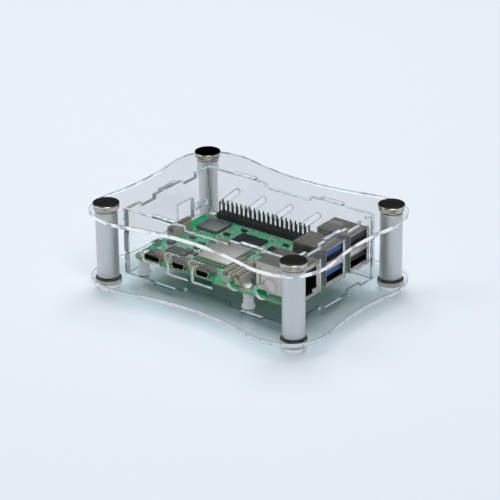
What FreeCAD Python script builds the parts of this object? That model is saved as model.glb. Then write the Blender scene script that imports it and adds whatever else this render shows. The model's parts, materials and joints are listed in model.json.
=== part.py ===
"""Single board computer in a clear stacked-plate case with four metal pillars.

Frame: origin on the table under the middle of the case, +X towards the USB and network ports,
+Y towards the pin header, +Z up. Lengths are millimetres. The circuit board has a frame of its
own, used by the functions that place its components: x and y are counted from the board's
front left corner and z from its upper face.
"""
import math
import os

import FreeCAD
import Part

Vec = FreeCAD.Vector

# ---- case -----------------------------------------------------------------------------------
SHEET = 2.0                       # thickness of every acrylic sheet
PILLAR_SPACING = (102.0, 72.0)    # axis to axis along X and Y
PILLAR_DIA = 10.0
PILLAR_LENGTH = 30.0              # clear height between the two plates
PILLAR_BORE = 3.1
PILLAR_BORE_DEPTH = 12.0
HEAD_DIA = 12.0                   # thumb screw heads, above and below
HEAD_HEIGHT = 3.0
HEAD_SMALL_DIA = 11.2             # the side tapers towards the plate
STUD_DIA = 3.0
STUD_LENGTH = 10.0                # below the head's seat
STUD_HOLE = 3.1
INLAY_DIA = 11.4
INLAY_DEPTH = 0.5
FOOT_DIA = 12.0
FOOT_HEIGHT = 4.5                 # seat of the bottom plate above the table
FOOT_PAD_DIA = 8.6
FOOT_PAD_HEIGHT = 0.9
FOOT_KNURL_HEIGHT = 2.2

# ---- outline of the two plates, half sizes from the middle --------------------------------------
CREST_X, CREST_Y = 40.5, 46.6     # highest point of a lobe on the long sides
SIDE_X, SIDE_Y = 61.4, 27.0       # outermost point of a lobe on the short sides
WAIST_Y = 41.0                    # middle of the long sides
WAIST_X = 58.8                    # middle of the short sides
CREST_RADIUS = 30.0
SIDE_RADIUS = 25.0
CORNER_RADIUS = 12.0

# ---- walls --------------------------------------------------------------------------------------
INNER_X, INNER_Y = 88.6, 56.8     # clear size inside the four walls
TAB_LENGTH = 11.5
TAB_OFFSET = 24.0                 # front and back walls carry a tab each side of the middle
SLOT_CLEARANCE = 0.1              # all round a tab
NOTCH_DEPTH = 2.0
LONG_NOTCH = 24.4                 # one in the middle of the long walls
SIDE_NOTCH = 9.5                  # two on each short wall
SIDE_NOTCH_OFFSET = 14.8
FINGER_LENGTH = 10.0              # short walls lock into the long walls with one finger an end

# ---- circuit board --------------------------------------------------------------------------------
BOARD_X, BOARD_Y, BOARD_T = 85.0, 56.0, 1.4
BOARD_CORNER_RADIUS = 3.0
BOARD_SHIFT_Y = -0.2              # the board sits a little towards the front wall
STANDOFF_HEIGHT = 8.0
MOUNT_HOLE_DIA = 2.7
MOUNT_HOLES = [(3.5, 3.5), (61.5, 3.5), (3.5, 52.5), (61.5, 52.5)]
SCREW_DIA = 2.5
SCREW_HEAD_DIA = 4.6
SCREW_HEAD_HEIGHT = 1.5
STANDOFF_DIA = 4.6
STANDOFF_BASE_DIA = 6.0
STANDOFF_BASE_HEIGHT = 1.6
STANDOFF_BEVEL = 0.3
PIN_PITCH = 2.54
PIN_SIZE = 0.64
PIN_HOLE_DIA = 1.0

# ---- levels above the table -------------------------------------------------------------------------
Z_BOTTOM_PLATE = FOOT_HEIGHT
Z_FLOOR = Z_BOTTOM_PLATE + SHEET                 # upper face of the bottom plate
Z_CEILING = Z_FLOOR + PILLAR_LENGTH              # lower face of the top plate
Z_TOP = Z_CEILING + SHEET
Z_BOARD = Z_FLOOR + STANDOFF_HEIGHT + BOARD_T    # upper face of the board
BOARD_ORIGIN = Vec(-BOARD_X / 2, -BOARD_Y / 2 + BOARD_SHIFT_Y, Z_BOARD)

CORNERS = {
    "front_left": (-1, -1),
    "front_right": (1, -1),
    "back_left": (-1, 1),
    "back_right": (1, 1),
}


# ---- helpers ------------------------------------------------------------------------------------
def block(x0, x1, y0, y1, z0, z1):
    """Box between two corners, in the case's frame."""
    return Part.makeBox(x1 - x0, y1 - y0, z1 - z0, Vec(x0, y0, z0))


def rod(dia, x, y, z0, z1):
    """Upright cylinder."""
    return Part.makeCylinder(dia / 2, z1 - z0, Vec(x, y, z0))


def on_board(shape):
    """Move a shape from the board's frame to the case's frame."""
    return shape.translated(BOARD_ORIGIN)


def prism(points, direction):
    """Solid from a closed straight-sided outline swept along a vector."""
    wire = Part.makePolygon([Vec(*p) for p in points] + [Vec(*points[0])])
    return Part.Face(wire).extrude(direction)


def turned(profile, x, y):
    """Solid of revolution about an upright axis from (radius, z) points."""
    points = [Vec(x + r, y, z) for r, z in profile]
    wire = Part.makePolygon(points + [points[0]])
    return Part.Face(wire).revolve(Vec(x, y, 0), Vec(0, 0, 1), 360)


def rounded_plate(x0, x1, y0, y1, z0, z1, radius):
    """Flat plate with rounded upright corners."""
    plate = block(x0, x1, y0, y1, z0, z1)
    upright = [e for e in plate.Edges if abs(e.BoundBox.ZLength - (z1 - z0)) < 1e-6]
    return plate.makeFillet(radius, upright)


def all_pillars():
    """Axis positions of the pillars by corner name."""
    half_x, half_y = PILLAR_SPACING[0] / 2, PILLAR_SPACING[1] / 2
    return {name: (sx * half_x, sy * half_y) for name, (sx, sy) in CORNERS.items()}


def save(name, *solids):
    """Write one node; several solids become one group of separate solids."""
    shape = solids[0] if len(solids) == 1 else Part.makeCompound(list(solids))
    shape.exportStep("parts/%s.step" % name)


# ---- plates -------------------------------------------------------------------------------------
def circle_meeting(c0, r0, c1, r1):
    """The crossing point of two circles that lies farther from the middle of the plate."""
    dx, dy = c1[0] - c0[0], c1[1] - c0[1]
    apart = math.hypot(dx, dy)
    along = (r0 ** 2 - r1 ** 2 + apart ** 2) / (2 * apart)
    across = math.sqrt(r0 ** 2 - along ** 2)
    foot = (c0[0] + along * dx / apart, c0[1] + along * dy / apart)
    crossings = [(foot[0] + s * across * dy / apart, foot[1] - s * across * dx / apart)
                 for s in (1, -1)]
    return max(crossings, key=lambda p: p[0] + p[1])


def point_towards(centre, other, radius):
    """Point at a radius from a centre in the direction of another point."""
    dx, dy = other[0] - centre[0], other[1] - centre[1]
    scale = radius / math.hypot(dx, dy)
    return (centre[0] + dx * scale, centre[1] + dy * scale)


def wavy_outline():
    """Closed wire of tangent arcs: four lobes around the pillars and four waisted sides."""
    crest_sum = (CREST_X ** 2 + (CREST_Y - WAIST_Y) ** 2) / (2 * (CREST_Y - WAIST_Y))
    side_sum = (SIDE_Y ** 2 + (SIDE_X - WAIST_X) ** 2) / (2 * (SIDE_X - WAIST_X))
    long_waist = (0.0, WAIST_Y + crest_sum - CREST_RADIUS)
    short_waist = (WAIST_X + side_sum - SIDE_RADIUS, 0.0)
    crest = (CREST_X, CREST_Y - CREST_RADIUS)
    side = (SIDE_X - SIDE_RADIUS, SIDE_Y)
    corner = circle_meeting(crest, CREST_RADIUS - CORNER_RADIUS, side, SIDE_RADIUS - CORNER_RADIUS)

    from_waist = point_towards(crest, long_waist, CREST_RADIUS)
    to_corner = point_towards(corner, crest, -CORNER_RADIUS)
    lobe = point_towards(corner, (0.0, 0.0), -CORNER_RADIUS)
    from_corner = point_towards(corner, side, -CORNER_RADIUS)
    to_waist = point_towards(side, short_waist, SIDE_RADIUS)
    quarter = [from_waist, (CREST_X, CREST_Y), to_corner, lobe, from_corner, (SIDE_X, SIDE_Y), to_waist]

    edges = []
    for sx, sy in ((1, 1), (-1, 1), (-1, -1), (1, -1)):
        pts = [Vec(sx * x, sy * y, 0) for x, y in quarter]
        for i in (0, 2, 4):
            edges.append(Part.Arc(pts[i], pts[i + 1], pts[i + 2]).toShape())
    for sign in (1, -1):
        start, end = quarter[0], quarter[-1]
        edges.append(Part.Arc(Vec(-start[0], sign * start[1], 0), Vec(0, sign * WAIST_Y, 0),
                              Vec(start[0], sign * start[1], 0)).toShape())
        edges.append(Part.Arc(Vec(sign * end[0], -end[1], 0), Vec(sign * WAIST_X, 0, 0),
                              Vec(sign * end[0], end[1], 0)).toShape())
    return Part.Wire(Part.__sortEdges__(edges))


def wall_tab_slots(z0):
    """The six slots that the wall tabs go through."""
    half_l, half_t = TAB_LENGTH / 2 + SLOT_CLEARANCE, SHEET / 2 + SLOT_CLEARANCE
    y_mid, x_mid = (INNER_Y + SHEET) / 2, (INNER_X + SHEET) / 2
    slots = []
    for sy in (1, -1):
        for sx in (1, -1):
            x, y = sx * TAB_OFFSET, sy * y_mid
            slots.append(block(x - half_l, x + half_l, y - half_t, y + half_t, z0, z0 + SHEET))
    for sx in (1, -1):
        x = sx * x_mid
        slots.append(block(x - half_t, x + half_t, -half_l, half_l, z0, z0 + SHEET))
    return slots


def case_plate(z0):
    """Wavy acrylic plate with its tab slots and stud holes."""
    wire = wavy_outline()
    plate = Part.Face(wire).extrude(Vec(0, 0, SHEET)).translated(Vec(0, 0, z0))
    holes = [rod(STUD_HOLE, x, y, z0, z0 + SHEET) for x, y in all_pillars().values()]
    return plate.cut(Part.makeCompound(wall_tab_slots(z0) + holes))


def plates():
    save("top_plate", case_plate(Z_CEILING))
    holes = []
    for x, y in MOUNT_HOLES:
        axis = BOARD_ORIGIN + Vec(x, y, 0)
        holes.append(rod(MOUNT_HOLE_DIA, axis.x, axis.y, Z_BOTTOM_PLATE, Z_FLOOR))
    save("bottom_plate", case_plate(Z_BOTTOM_PLATE).cut(Part.makeCompound(holes)))


# ---- walls --------------------------------------------------------------------------------------
FRONT_PORT_RADIUS = 3.6
# middle x, width, low z and high z of each port cut-out
FRONT_PORTS = [(11.3, 9.8, -0.9, 5.6), (26.1, 11.6, -3.6, 5.8), (39.8, 11.6, -3.6, 5.8)]
CABLE_HOLES = [(56.8, 2.4), (71.7, 2.4)]
CABLE_HOLE_DIA = 7.0
VENT_COUNT = 5
VENT_FIRST_X, VENT_PITCH = 13.8, 15.0
VENT_TOP_Z = 12.2
VENT_LENGTH, VENT_WIDTH, VENT_ANGLE = 13.0, 2.6, 42.0
SIDE_PORTS = [(2.0, 18.4, 13.8), (22.2, 36.0, 16.3), (40.1, 53.9, 16.3)]  # low y, high y, high z
SIDE_PORT_LOW_Z = -0.2
CARD_WINDOW = (34.3, 45.0, 0.2, 9.4)      # low y, high y, low z, high z
LEAD_WINDOW = (46.6, 55.4, 2.9, 5.5)


def arched_port(middle, width, low, high, y0):
    """Cutter for a port with a square sill and rounded upper corners."""
    x0, x1, radius = middle - width / 2, middle + width / 2, FRONT_PORT_RADIUS
    diag = radius * (1 - math.sqrt(0.5))
    corner = [Vec(x0, 0, low), Vec(x1, 0, low), Vec(x1, 0, high - radius), Vec(x1 - radius, 0, high),
              Vec(x0 + radius, 0, high), Vec(x0, 0, high - radius)]
    edges = [
        Part.LineSegment(corner[0], corner[1]).toShape(),
        Part.LineSegment(corner[1], corner[2]).toShape(),
        Part.Arc(corner[2], Vec(x1 - diag, 0, high - diag), corner[3]).toShape(),
        Part.LineSegment(corner[3], corner[4]).toShape(),
        Part.Arc(corner[4], Vec(x0 + diag, 0, high - diag), corner[5]).toShape(),
        Part.LineSegment(corner[5], corner[0]).toShape(),
    ]
    cutter = Part.Face(Part.Wire(edges)).extrude(Vec(0, SHEET, 0))
    return cutter.translated(Vec(BOARD_ORIGIN.x, y0, BOARD_ORIGIN.z))


def long_wall(y0):
    """Front or back wall before its openings are cut: tabs, notches and finger recesses."""
    half, half_tab, y1 = INNER_X / 2 + SHEET, TAB_LENGTH / 2, y0 + SHEET
    wall = block(-half, half, y0, y1, Z_FLOOR, Z_CEILING)
    for x in (-TAB_OFFSET, TAB_OFFSET):
        wall = wall.fuse(block(x - half_tab, x + half_tab, y0, y1, Z_BOTTOM_PLATE, Z_TOP))
    wall = wall.removeSplitter()
    z_mid = (Z_FLOOR + Z_CEILING) / 2
    cuts = [block(-LONG_NOTCH / 2, LONG_NOTCH / 2, y0, y1, z, z + NOTCH_DEPTH)
            for z in (Z_FLOOR, Z_CEILING - NOTCH_DEPTH)]
    for x in (-half, INNER_X / 2):
        cuts.append(block(x, x + SHEET, y0, y1, z_mid - FINGER_LENGTH / 2, z_mid + FINGER_LENGTH / 2))
    return wall.cut(Part.makeCompound(cuts))


def short_wall(x0):
    """Left or right wall before its openings are cut."""
    half, x1 = INNER_Y / 2, x0 + SHEET
    z_mid = (Z_FLOOR + Z_CEILING) / 2
    wall = block(x0, x1, -half, half, Z_FLOOR, Z_CEILING)
    tab = block(x0, x1, -TAB_LENGTH / 2, TAB_LENGTH / 2, Z_BOTTOM_PLATE, Z_TOP)
    fingers = block(x0, x1, -half - SHEET, half + SHEET,
                    z_mid - FINGER_LENGTH / 2, z_mid + FINGER_LENGTH / 2)
    wall = wall.fuse([tab, fingers]).removeSplitter()
    cuts = []
    for y in (-SIDE_NOTCH_OFFSET, SIDE_NOTCH_OFFSET):
        for z in (Z_FLOOR, Z_CEILING - NOTCH_DEPTH):
            cuts.append(block(x0, x1, y - SIDE_NOTCH / 2, y + SIDE_NOTCH / 2, z, z + NOTCH_DEPTH))
    return wall.cut(Part.makeCompound(cuts))


def slanted_vent(x, z, y0):
    """Cutter for one slanted vent with round ends, from its upper end down to the left."""
    reach = VENT_LENGTH - VENT_WIDTH
    bar = Part.makeBox(reach, SHEET, VENT_WIDTH, Vec(-reach, 0, -VENT_WIDTH / 2))
    ends = [Part.makeCylinder(VENT_WIDTH / 2, SHEET, Vec(-d, 0, 0), Vec(0, 1, 0)) for d in (0, reach)]
    vent = bar.fuse(ends).removeSplitter()
    vent.rotate(Vec(0, 0, 0), Vec(0, 1, 0), -VENT_ANGLE)
    return vent.translated(Vec(BOARD_ORIGIN.x + x, y0, BOARD_ORIGIN.z + z))


def side_opening(x0, y0, y1, z0, z1):
    """Cutter through a short wall, with y and z in the board's frame."""
    return block(x0, x0 + SHEET, BOARD_ORIGIN.y + y0, BOARD_ORIGIN.y + y1, Z_BOARD + z0, Z_BOARD + z1)


def walls():
    y_front, y_back = -INNER_Y / 2 - SHEET, INNER_Y / 2
    x_left, x_right = -INNER_X / 2 - SHEET, INNER_X / 2

    cuts = [arched_port(*port, y_front) for port in FRONT_PORTS]
    for x, z in CABLE_HOLES:
        centre = Vec(BOARD_ORIGIN.x + x, y_front, BOARD_ORIGIN.z + z)
        cuts.append(Part.makeCylinder(CABLE_HOLE_DIA / 2, SHEET, centre, Vec(0, 1, 0)))
    save("front_wall", long_wall(y_front).cut(Part.makeCompound(cuts)))

    vents = [slanted_vent(VENT_FIRST_X + i * VENT_PITCH, VENT_TOP_Z, y_back)
             for i in range(VENT_COUNT)]
    save("back_wall", long_wall(y_back).cut(Part.makeCompound(vents)))

    windows = [side_opening(x_left, *window) for window in (CARD_WINDOW, LEAD_WINDOW)]
    save("left_wall", short_wall(x_left).cut(Part.makeCompound(windows)))

    ports = [side_opening(x_right, y0, y1, SIDE_PORT_LOW_Z, z1) for y0, y1, z1 in SIDE_PORTS]
    save("right_wall", short_wall(x_right).cut(Part.makeCompound(ports)))


# ---- pillars, thumb screws and feet -------------------------------------------------------------
PILLAR_CHAMFER = 0.4
HEAD_EDGE = 0.1                           # small breaks on the turned edges
HEAD_TAPER_TOP = 1.6                      # the straight knurled band ends this far below the top
HEAD_FOOT_STEP = 0.2
STUD_TIP = 0.5
FOOT_STEP = 0.5


def pillar(x, y):
    """Turned rod with a threaded bore in each end, drawn at the thread's clearance size."""
    r, chamfer = PILLAR_DIA / 2, PILLAR_CHAMFER
    body = turned([(0, Z_FLOOR), (r - chamfer, Z_FLOOR), (r, Z_FLOOR + chamfer),
                   (r, Z_CEILING - chamfer), (r - chamfer, Z_CEILING), (0, Z_CEILING)], x, y)
    low = rod(PILLAR_BORE, x, y, Z_FLOOR, Z_FLOOR + PILLAR_BORE_DEPTH)
    high = rod(PILLAR_BORE, x, y, Z_CEILING - PILLAR_BORE_DEPTH, Z_CEILING)
    return body.cut(Part.makeCompound([low, high]))


def thumb_screw(x, y):
    """Head with a tapered side and a shallow recess for the inlay, on a plain stud."""
    r, small, top, end = HEAD_DIA / 2, HEAD_SMALL_DIA / 2, Z_TOP + HEAD_HEIGHT, Z_TOP - STUD_LENGTH
    inlay, stud = INLAY_DIA / 2, STUD_DIA / 2
    return turned([(0, top - INLAY_DEPTH), (inlay, top - INLAY_DEPTH), (inlay, top),
                   (r - HEAD_EDGE, top), (r, top - HEAD_EDGE), (r, top - HEAD_TAPER_TOP),
                   (small, Z_TOP + HEAD_FOOT_STEP), (small - HEAD_FOOT_STEP, Z_TOP), (stud, Z_TOP),
                   (stud, end + STUD_TIP), (stud - STUD_TIP, end), (0, end)], x, y)


def foot_screw(x, y):
    """The same fastener upside down, with a rounded base that holds a pad."""
    r, seat, knurl = FOOT_DIA / 2, Z_BOTTOM_PLATE, Z_BOTTOM_PLATE - FOOT_KNURL_HEIGHT
    pad, stud, end = FOOT_PAD_DIA / 2, STUD_DIA / 2, Z_BOTTOM_PLATE + STUD_LENGTH
    return turned([(0, FOOT_PAD_HEIGHT), (pad, FOOT_PAD_HEIGHT), (r - FOOT_STEP, knurl),
                   (r, knurl + FOOT_STEP), (r, seat - HEAD_EDGE), (r - HEAD_EDGE, seat), (stud, seat),
                   (stud, end - STUD_TIP), (stud - STUD_TIP, end), (0, end)], x, y)


def inlay_disc(x, y):
    """Black disc set into the top of a thumb screw."""
    top = Z_TOP + HEAD_HEIGHT
    return rod(INLAY_DIA, x, y, top - INLAY_DEPTH, top)


def pillars_and_screws():
    for name, (x, y) in all_pillars().items():
        save("pillar_" + name, pillar(x, y))
        save("thumb_screw_" + name, thumb_screw(x, y))
        save("screw_inlay_" + name, inlay_disc(x, y))
    save("foot_screws", *[foot_screw(x, y) for x, y in all_pillars().values()])
    save("foot_pads", *[rod(FOOT_PAD_DIA, x, y, 0, FOOT_PAD_HEIGHT)
                        for x, y in all_pillars().values()])


# ---- board fasteners ----------------------------------------------------------------------------
RECESS_WIDTH = 0.7
RECESS_LENGTH = 2.6
RECESS_DEPTH = 0.8
SCREW_ROUNDING = 0.7                      # bevel round a pan head
SCREW_GRIP = 3.0                          # length of thread inside the standoff


def cross_recess(x, y, z_face, down):
    """Cross-shaped cutter that enters a screw head from its face."""
    z0, z1 = (z_face - RECESS_DEPTH, z_face) if down else (z_face, z_face + RECESS_DEPTH)
    long_half, thin_half = RECESS_LENGTH / 2, RECESS_WIDTH / 2
    return block(x - long_half, x + long_half, y - thin_half, y + thin_half, z0, z1).fuse(
        block(x - thin_half, x + thin_half, y - long_half, y + long_half, z0, z1))


def board_screw(x, y):
    """Pan head screw that clamps the board to its standoff."""
    r, core, bevel = SCREW_HEAD_DIA / 2, SCREW_DIA / 2, SCREW_ROUNDING
    top, end = Z_BOARD + SCREW_HEAD_HEIGHT, Z_BOARD - BOARD_T - SCREW_GRIP
    body = turned([(0, top), (r - bevel, top), (r, top - bevel), (r, Z_BOARD), (core, Z_BOARD),
                   (core, end), (0, end)], x, y)
    return body.cut(cross_recess(x, y, top, True))


def base_screw(x, y):
    """Pan head screw from below, through the bottom plate into the standoff."""
    r, core, bevel = SCREW_HEAD_DIA / 2, SCREW_DIA / 2, SCREW_ROUNDING
    low, end = Z_BOTTOM_PLATE - SCREW_HEAD_HEIGHT, Z_FLOOR + SCREW_GRIP
    body = turned([(0, low), (r - bevel, low), (r, low + bevel), (r, Z_BOTTOM_PLATE),
                   (core, Z_BOTTOM_PLATE), (core, end), (0, end)], x, y)
    return body.cut(cross_recess(x, y, low, False))


def standoff(x, y):
    """Moulded spacer with a wide base and a bore for a screw from each end."""
    r, base, bevel = STANDOFF_DIA / 2, STANDOFF_BASE_DIA / 2, STANDOFF_BEVEL
    bottom, top = Z_FLOOR, Z_FLOOR + STANDOFF_HEIGHT
    step = bottom + STANDOFF_BASE_HEIGHT
    body = turned([(0, bottom), (base, bottom), (base, step - bevel), (base - bevel, step),
                   (r, step), (r, top), (0, top)], x, y)
    return body.cut(rod(SCREW_DIA, x, y, bottom, top))


def board_fasteners():
    places = [(BOARD_ORIGIN.x + x, BOARD_ORIGIN.y + y) for x, y in MOUNT_HOLES]
    save("board_screws", *[board_screw(x, y) for x, y in places])
    save("base_screws", *[base_screw(x, y) for x, y in places])
    save("standoffs", *[standoff(x, y) for x, y in places])


# ---- board and chips ----------------------------------------------------------------------------
def circuit_board():
    board = rounded_plate(0, BOARD_X, 0, BOARD_Y, -BOARD_T, 0, BOARD_CORNER_RADIUS)
    holes = [rod(MOUNT_HOLE_DIA, x, y, -BOARD_T, 0) for x, y in MOUNT_HOLES]
    pins = pin_grid(*HEADER_MIDDLE, 20, 2) + pin_grid(*POE_MIDDLE, 2, 2)
    holes += [rod(PIN_HOLE_DIA, x, y, -BOARD_T, 0) for x, y in pins]
    return board.cut(Part.makeCompound(holes))


PROCESSOR = (34.6, 21.6, 20.0, 0.9)       # middle x, middle y, side, height
PROCESSOR_LID = (17.4, 1.3)               # side, height above the substrate
PROCESSOR_LID_CHAMFER = 0.4
MEMORY = (28.0, 42.2, 32.6, 42.8, 1.0)    # low x, high x, low y, high y, height
IO_CHIP = (53.0, 63.0, 28.6, 38.6, 1.0)
POWER_CHIP = (9.4, 15.4, 11.0, 17.0, 0.9)
WIFI_SHIELD = (6.8, 18.6, 35.6, 47.0, 1.6)
SUPPORT_CHIPS = [
    (62.5, 68.5, 20.2, 25.2, 0.9),
    (17.8, 21.0, 20.5, 25.5, 0.8),
    (46.6, 49.6, 36.0, 39.0, 0.8),
]
INDUCTORS = [
    (17.4, 20.4, 10.4, 13.4, 1.8),
    (17.4, 20.4, 14.4, 17.4, 1.8),
    (5.0, 8.0, 17.6, 20.6, 1.8),
    (21.4, 23.6, 14.8, 17.0, 1.2),
]
CHIP_CHAMFER = 0.12


def with_bevelled_top(body, top_z, size):
    """Chamfer the edges round the upper face of a body."""
    return body.makeChamfer(size, [e for e in body.Edges if e.BoundBox.ZMin > top_z - 1e-6])


def chip(x0, x1, y0, y1, height):
    """Moulded chip body standing on the board, with a small chamfer round its top."""
    body = Part.makeBox(x1 - x0, y1 - y0, height, Vec(x0, y0, 0))
    return on_board(with_bevelled_top(body, height, CHIP_CHAMFER))


def board_and_chips():
    save("circuit_board", on_board(circuit_board()))
    x, y, side, height = PROCESSOR
    save("processor", on_board(Part.makeBox(side, side, height, Vec(x - side / 2, y - side / 2, 0))))
    lid_side, lid_height = PROCESSOR_LID
    lid = Part.makeBox(lid_side, lid_side, lid_height, Vec(x - lid_side / 2, y - lid_side / 2, height))
    lid = with_bevelled_top(lid, height + lid_height, PROCESSOR_LID_CHAMFER)
    save("processor_lid", on_board(lid))
    save("memory_chip", chip(*MEMORY))
    save("io_chip", chip(*IO_CHIP))
    save("power_chip", chip(*POWER_CHIP))
    save("wifi_shield", chip(*WIFI_SHIELD))
    save("support_chips", *[chip(*c) for c in SUPPORT_CHIPS])
    save("inductors", *[chip(*c) for c in INDUCTORS])


# ---- pin headers --------------------------------------------------------------------------------
HEADER_MIDDLE = (32.5, 52.5)
POE_MIDDLE = (62.6, 9.6)
HEADER_BODY_HEIGHT = 2.54
PIN_TOP = 8.4
PIN_TAIL = 1.2                            # below the board
PIN_TAPER = 0.5                           # length of the tapered tip
CELL_BEVEL = 0.45


def pin_grid(x_mid, y_mid, columns, rows):
    """Pin positions of a header, in the board's frame."""
    return [(x_mid + (i - (columns - 1) / 2) * PIN_PITCH, y_mid + (j - (rows - 1) / 2) * PIN_PITCH)
            for i in range(columns) for j in range(rows)]


def header_pin(x, y):
    """Square pin with a tapered tip."""
    def square(half, z):
        corners = ((-1, -1), (1, -1), (1, 1), (-1, 1), (-1, -1))
        return Part.makePolygon([Vec(x + a * half, y + b * half, z) for a, b in corners])

    half, low, shoulder = PIN_SIZE / 2, -BOARD_T - PIN_TAIL, PIN_TOP - PIN_TAPER
    shank = Part.makeBox(PIN_SIZE, PIN_SIZE, shoulder - low, Vec(x - half, y - half, low))
    tip = Part.makeLoft([square(half, shoulder), square(half / 2, PIN_TOP)], True)
    return shank.fuse(tip).removeSplitter()


def header_body(x_mid, y_mid, columns, rows):
    """Row of moulded cells with bevelled corners, as the snap-apart strip has."""
    half_x, half_y = PIN_PITCH / 2, rows * PIN_PITCH / 2
    short_x, short_y = half_x - CELL_BEVEL, half_y - CELL_BEVEL
    ring = [(-half_x, -short_y), (-short_x, -half_y), (short_x, -half_y), (half_x, -short_y),
            (half_x, short_y), (short_x, half_y), (-short_x, half_y), (-half_x, short_y)]
    cells = []
    for i in range(columns):
        x_cell = x_mid + (i - (columns - 1) / 2) * PIN_PITCH
        outline = [(x_cell + x, y_mid + y, 0) for x, y in ring]
        cells.append(prism(outline, Vec(0, 0, HEADER_BODY_HEIGHT)))
    strip = cells[0].fuse(cells[1:]).removeSplitter()
    bores = [Part.makeBox(PIN_SIZE, PIN_SIZE, HEADER_BODY_HEIGHT,
                          Vec(x - PIN_SIZE / 2, y - PIN_SIZE / 2, 0))
             for x, y in pin_grid(x_mid, y_mid, columns, rows)]
    return on_board(strip.cut(Part.makeCompound(bores)))


def headers():
    save("header_body", header_body(*HEADER_MIDDLE, 20, 2))
    save("header_pins", *[on_board(header_pin(x, y))
                          for x, y in pin_grid(*HEADER_MIDDLE, 20, 2)])
    save("network_power_header", header_body(*POE_MIDDLE, 2, 2))
    save("network_power_pins", *[on_board(header_pin(x, y))
                                 for x, y in pin_grid(*POE_MIDDLE, 2, 2)])


# ---- front edge connectors ----------------------------------------------------------------------
PORT_FACE_Y = -1.3                        # mouths stand proud of the board's front edge
USB_C = (11.2, 8.94, 3.26, 7.35)          # middle x, width, height, depth
USB_C_WALL = 0.3
USB_C_TONGUE = (6.69, 0.7)                # width, thickness
SOCKET_BACK = 1.2                         # closed length behind the cavity of a small socket
TONGUE_SET_BACK = 1.0                     # a tongue starts this far inside the mouth
HDMI_MIDDLES = (25.8, 39.2)
HDMI_WIDTH, HDMI_HEIGHT, HDMI_DEPTH = 7.2, 3.4, 7.6
HDMI_WALL = 0.35
HDMI_SHOULDER = 1.1                       # slanted lower corners
HDMI_TONGUE = (4.4, 0.6)                  # width, thickness
SH_DEPTH, SH_HEIGHT = 2.9, 4.25           # upright plug housings of 1 mm pitch
SH_WALL = 0.5
SH_FLOOR = 1.0
SH_GROOVE_DEPTH = 1.4
SH_PIN = (0.3, 2.4)                       # side, height above the floor
BATTERY_CONNECTOR = (18.5, 1.4, 2)        # middle x, low y, positions
UART_CONNECTOR = (32.5, 1.4, 3)
FAN_CONNECTOR = (67.2, 50.4, 4)


def stadium(x, z, width, height, y0, depth):
    """Bar with round sides, lying along Y."""
    r = height / 2
    bar = Part.makeBox(width - height, depth, height, Vec(x - width / 2 + r, y0, z - r))
    ends = [Part.makeCylinder(r, depth, Vec(x + s * (width / 2 - r), y0, z), Vec(0, 1, 0))
            for s in (-1, 1)]
    return bar.fuse(ends).removeSplitter()


def usb_c_socket():
    x, width, height, depth = USB_C
    z, inset = height / 2, 2 * USB_C_WALL
    cavity = stadium(x, z, width - inset, height - inset, PORT_FACE_Y, depth - SOCKET_BACK)
    save("usb_c_shell", on_board(stadium(x, z, width, height, PORT_FACE_Y, depth).cut(cavity)))
    tongue_width, thickness = USB_C_TONGUE
    tongue = Part.makeBox(tongue_width, depth - SOCKET_BACK - TONGUE_SET_BACK, thickness,
                          Vec(x - tongue_width / 2, PORT_FACE_Y + TONGUE_SET_BACK, z - thickness / 2))
    save("usb_c_tongue", on_board(tongue))


def hdmi_outline(x, inset, y):
    """Wide top and slanted lower corners, set in by a wall thickness."""
    w, h, s = HDMI_WIDTH / 2 - inset, HDMI_HEIGHT - inset, HDMI_SHOULDER
    return [(x - w + s, y, inset), (x + w - s, y, inset), (x + w, y, inset + s), (x + w, y, h),
            (x - w, y, h), (x - w, y, inset + s)]


def hdmi_socket(x):
    """Shell and tongue of one small video socket."""
    shell = prism(hdmi_outline(x, 0, PORT_FACE_Y), Vec(0, HDMI_DEPTH, 0))
    cavity = prism(hdmi_outline(x, HDMI_WALL, PORT_FACE_Y), Vec(0, HDMI_DEPTH - SOCKET_BACK, 0))
    width, thickness = HDMI_TONGUE
    tongue = Part.makeBox(width, HDMI_DEPTH - SOCKET_BACK - TONGUE_SET_BACK, thickness,
                          Vec(x - width / 2, PORT_FACE_Y + TONGUE_SET_BACK, HDMI_HEIGHT / 2))
    return on_board(shell.cut(cavity)), on_board(tongue)


def sh_housing(x, y_front, positions):
    """Upright housing of a 1 mm pitch plug, open at the top, with a latch groove in front."""
    width, groove_width = positions + 2.0, positions - 0.4
    low_x, pin_side = x - width / 2, SH_PIN[0]
    body = Part.makeBox(width, SH_DEPTH, SH_HEIGHT, Vec(low_x, y_front, 0))
    pocket = Part.makeBox(width - 2 * SH_WALL, SH_DEPTH - 2 * SH_WALL, SH_HEIGHT - SH_FLOOR,
                          Vec(low_x + SH_WALL, y_front + SH_WALL, SH_FLOOR))
    groove = Part.makeBox(groove_width, SH_WALL, SH_GROOVE_DEPTH,
                          Vec(x - groove_width / 2, y_front, SH_HEIGHT - SH_GROOVE_DEPTH))
    first_x, pin_y = x - (positions - 1) / 2 - pin_side / 2, y_front + (SH_DEPTH - pin_side) / 2
    pins = [Part.makeBox(pin_side, pin_side, SH_PIN[1], Vec(first_x + i, pin_y, SH_FLOOR))
            for i in range(positions)]
    housing = body.cut(Part.makeCompound([pocket, groove]))
    return on_board(housing.fuse(pins).removeSplitter())


def front_connectors():
    usb_c_socket()
    tongues = []
    for side, x in zip(("left", "right"), HDMI_MIDDLES):
        shell, tongue = hdmi_socket(x)
        save("micro_hdmi_shell_" + side, shell)
        tongues.append(tongue)
    save("micro_hdmi_tongues", *tongues)
    save("battery_connector", sh_housing(*BATTERY_CONNECTOR))
    save("uart_connector", sh_housing(*UART_CONNECTOR))
    save("fan_connector", sh_housing(*FAN_CONNECTOR))


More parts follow.
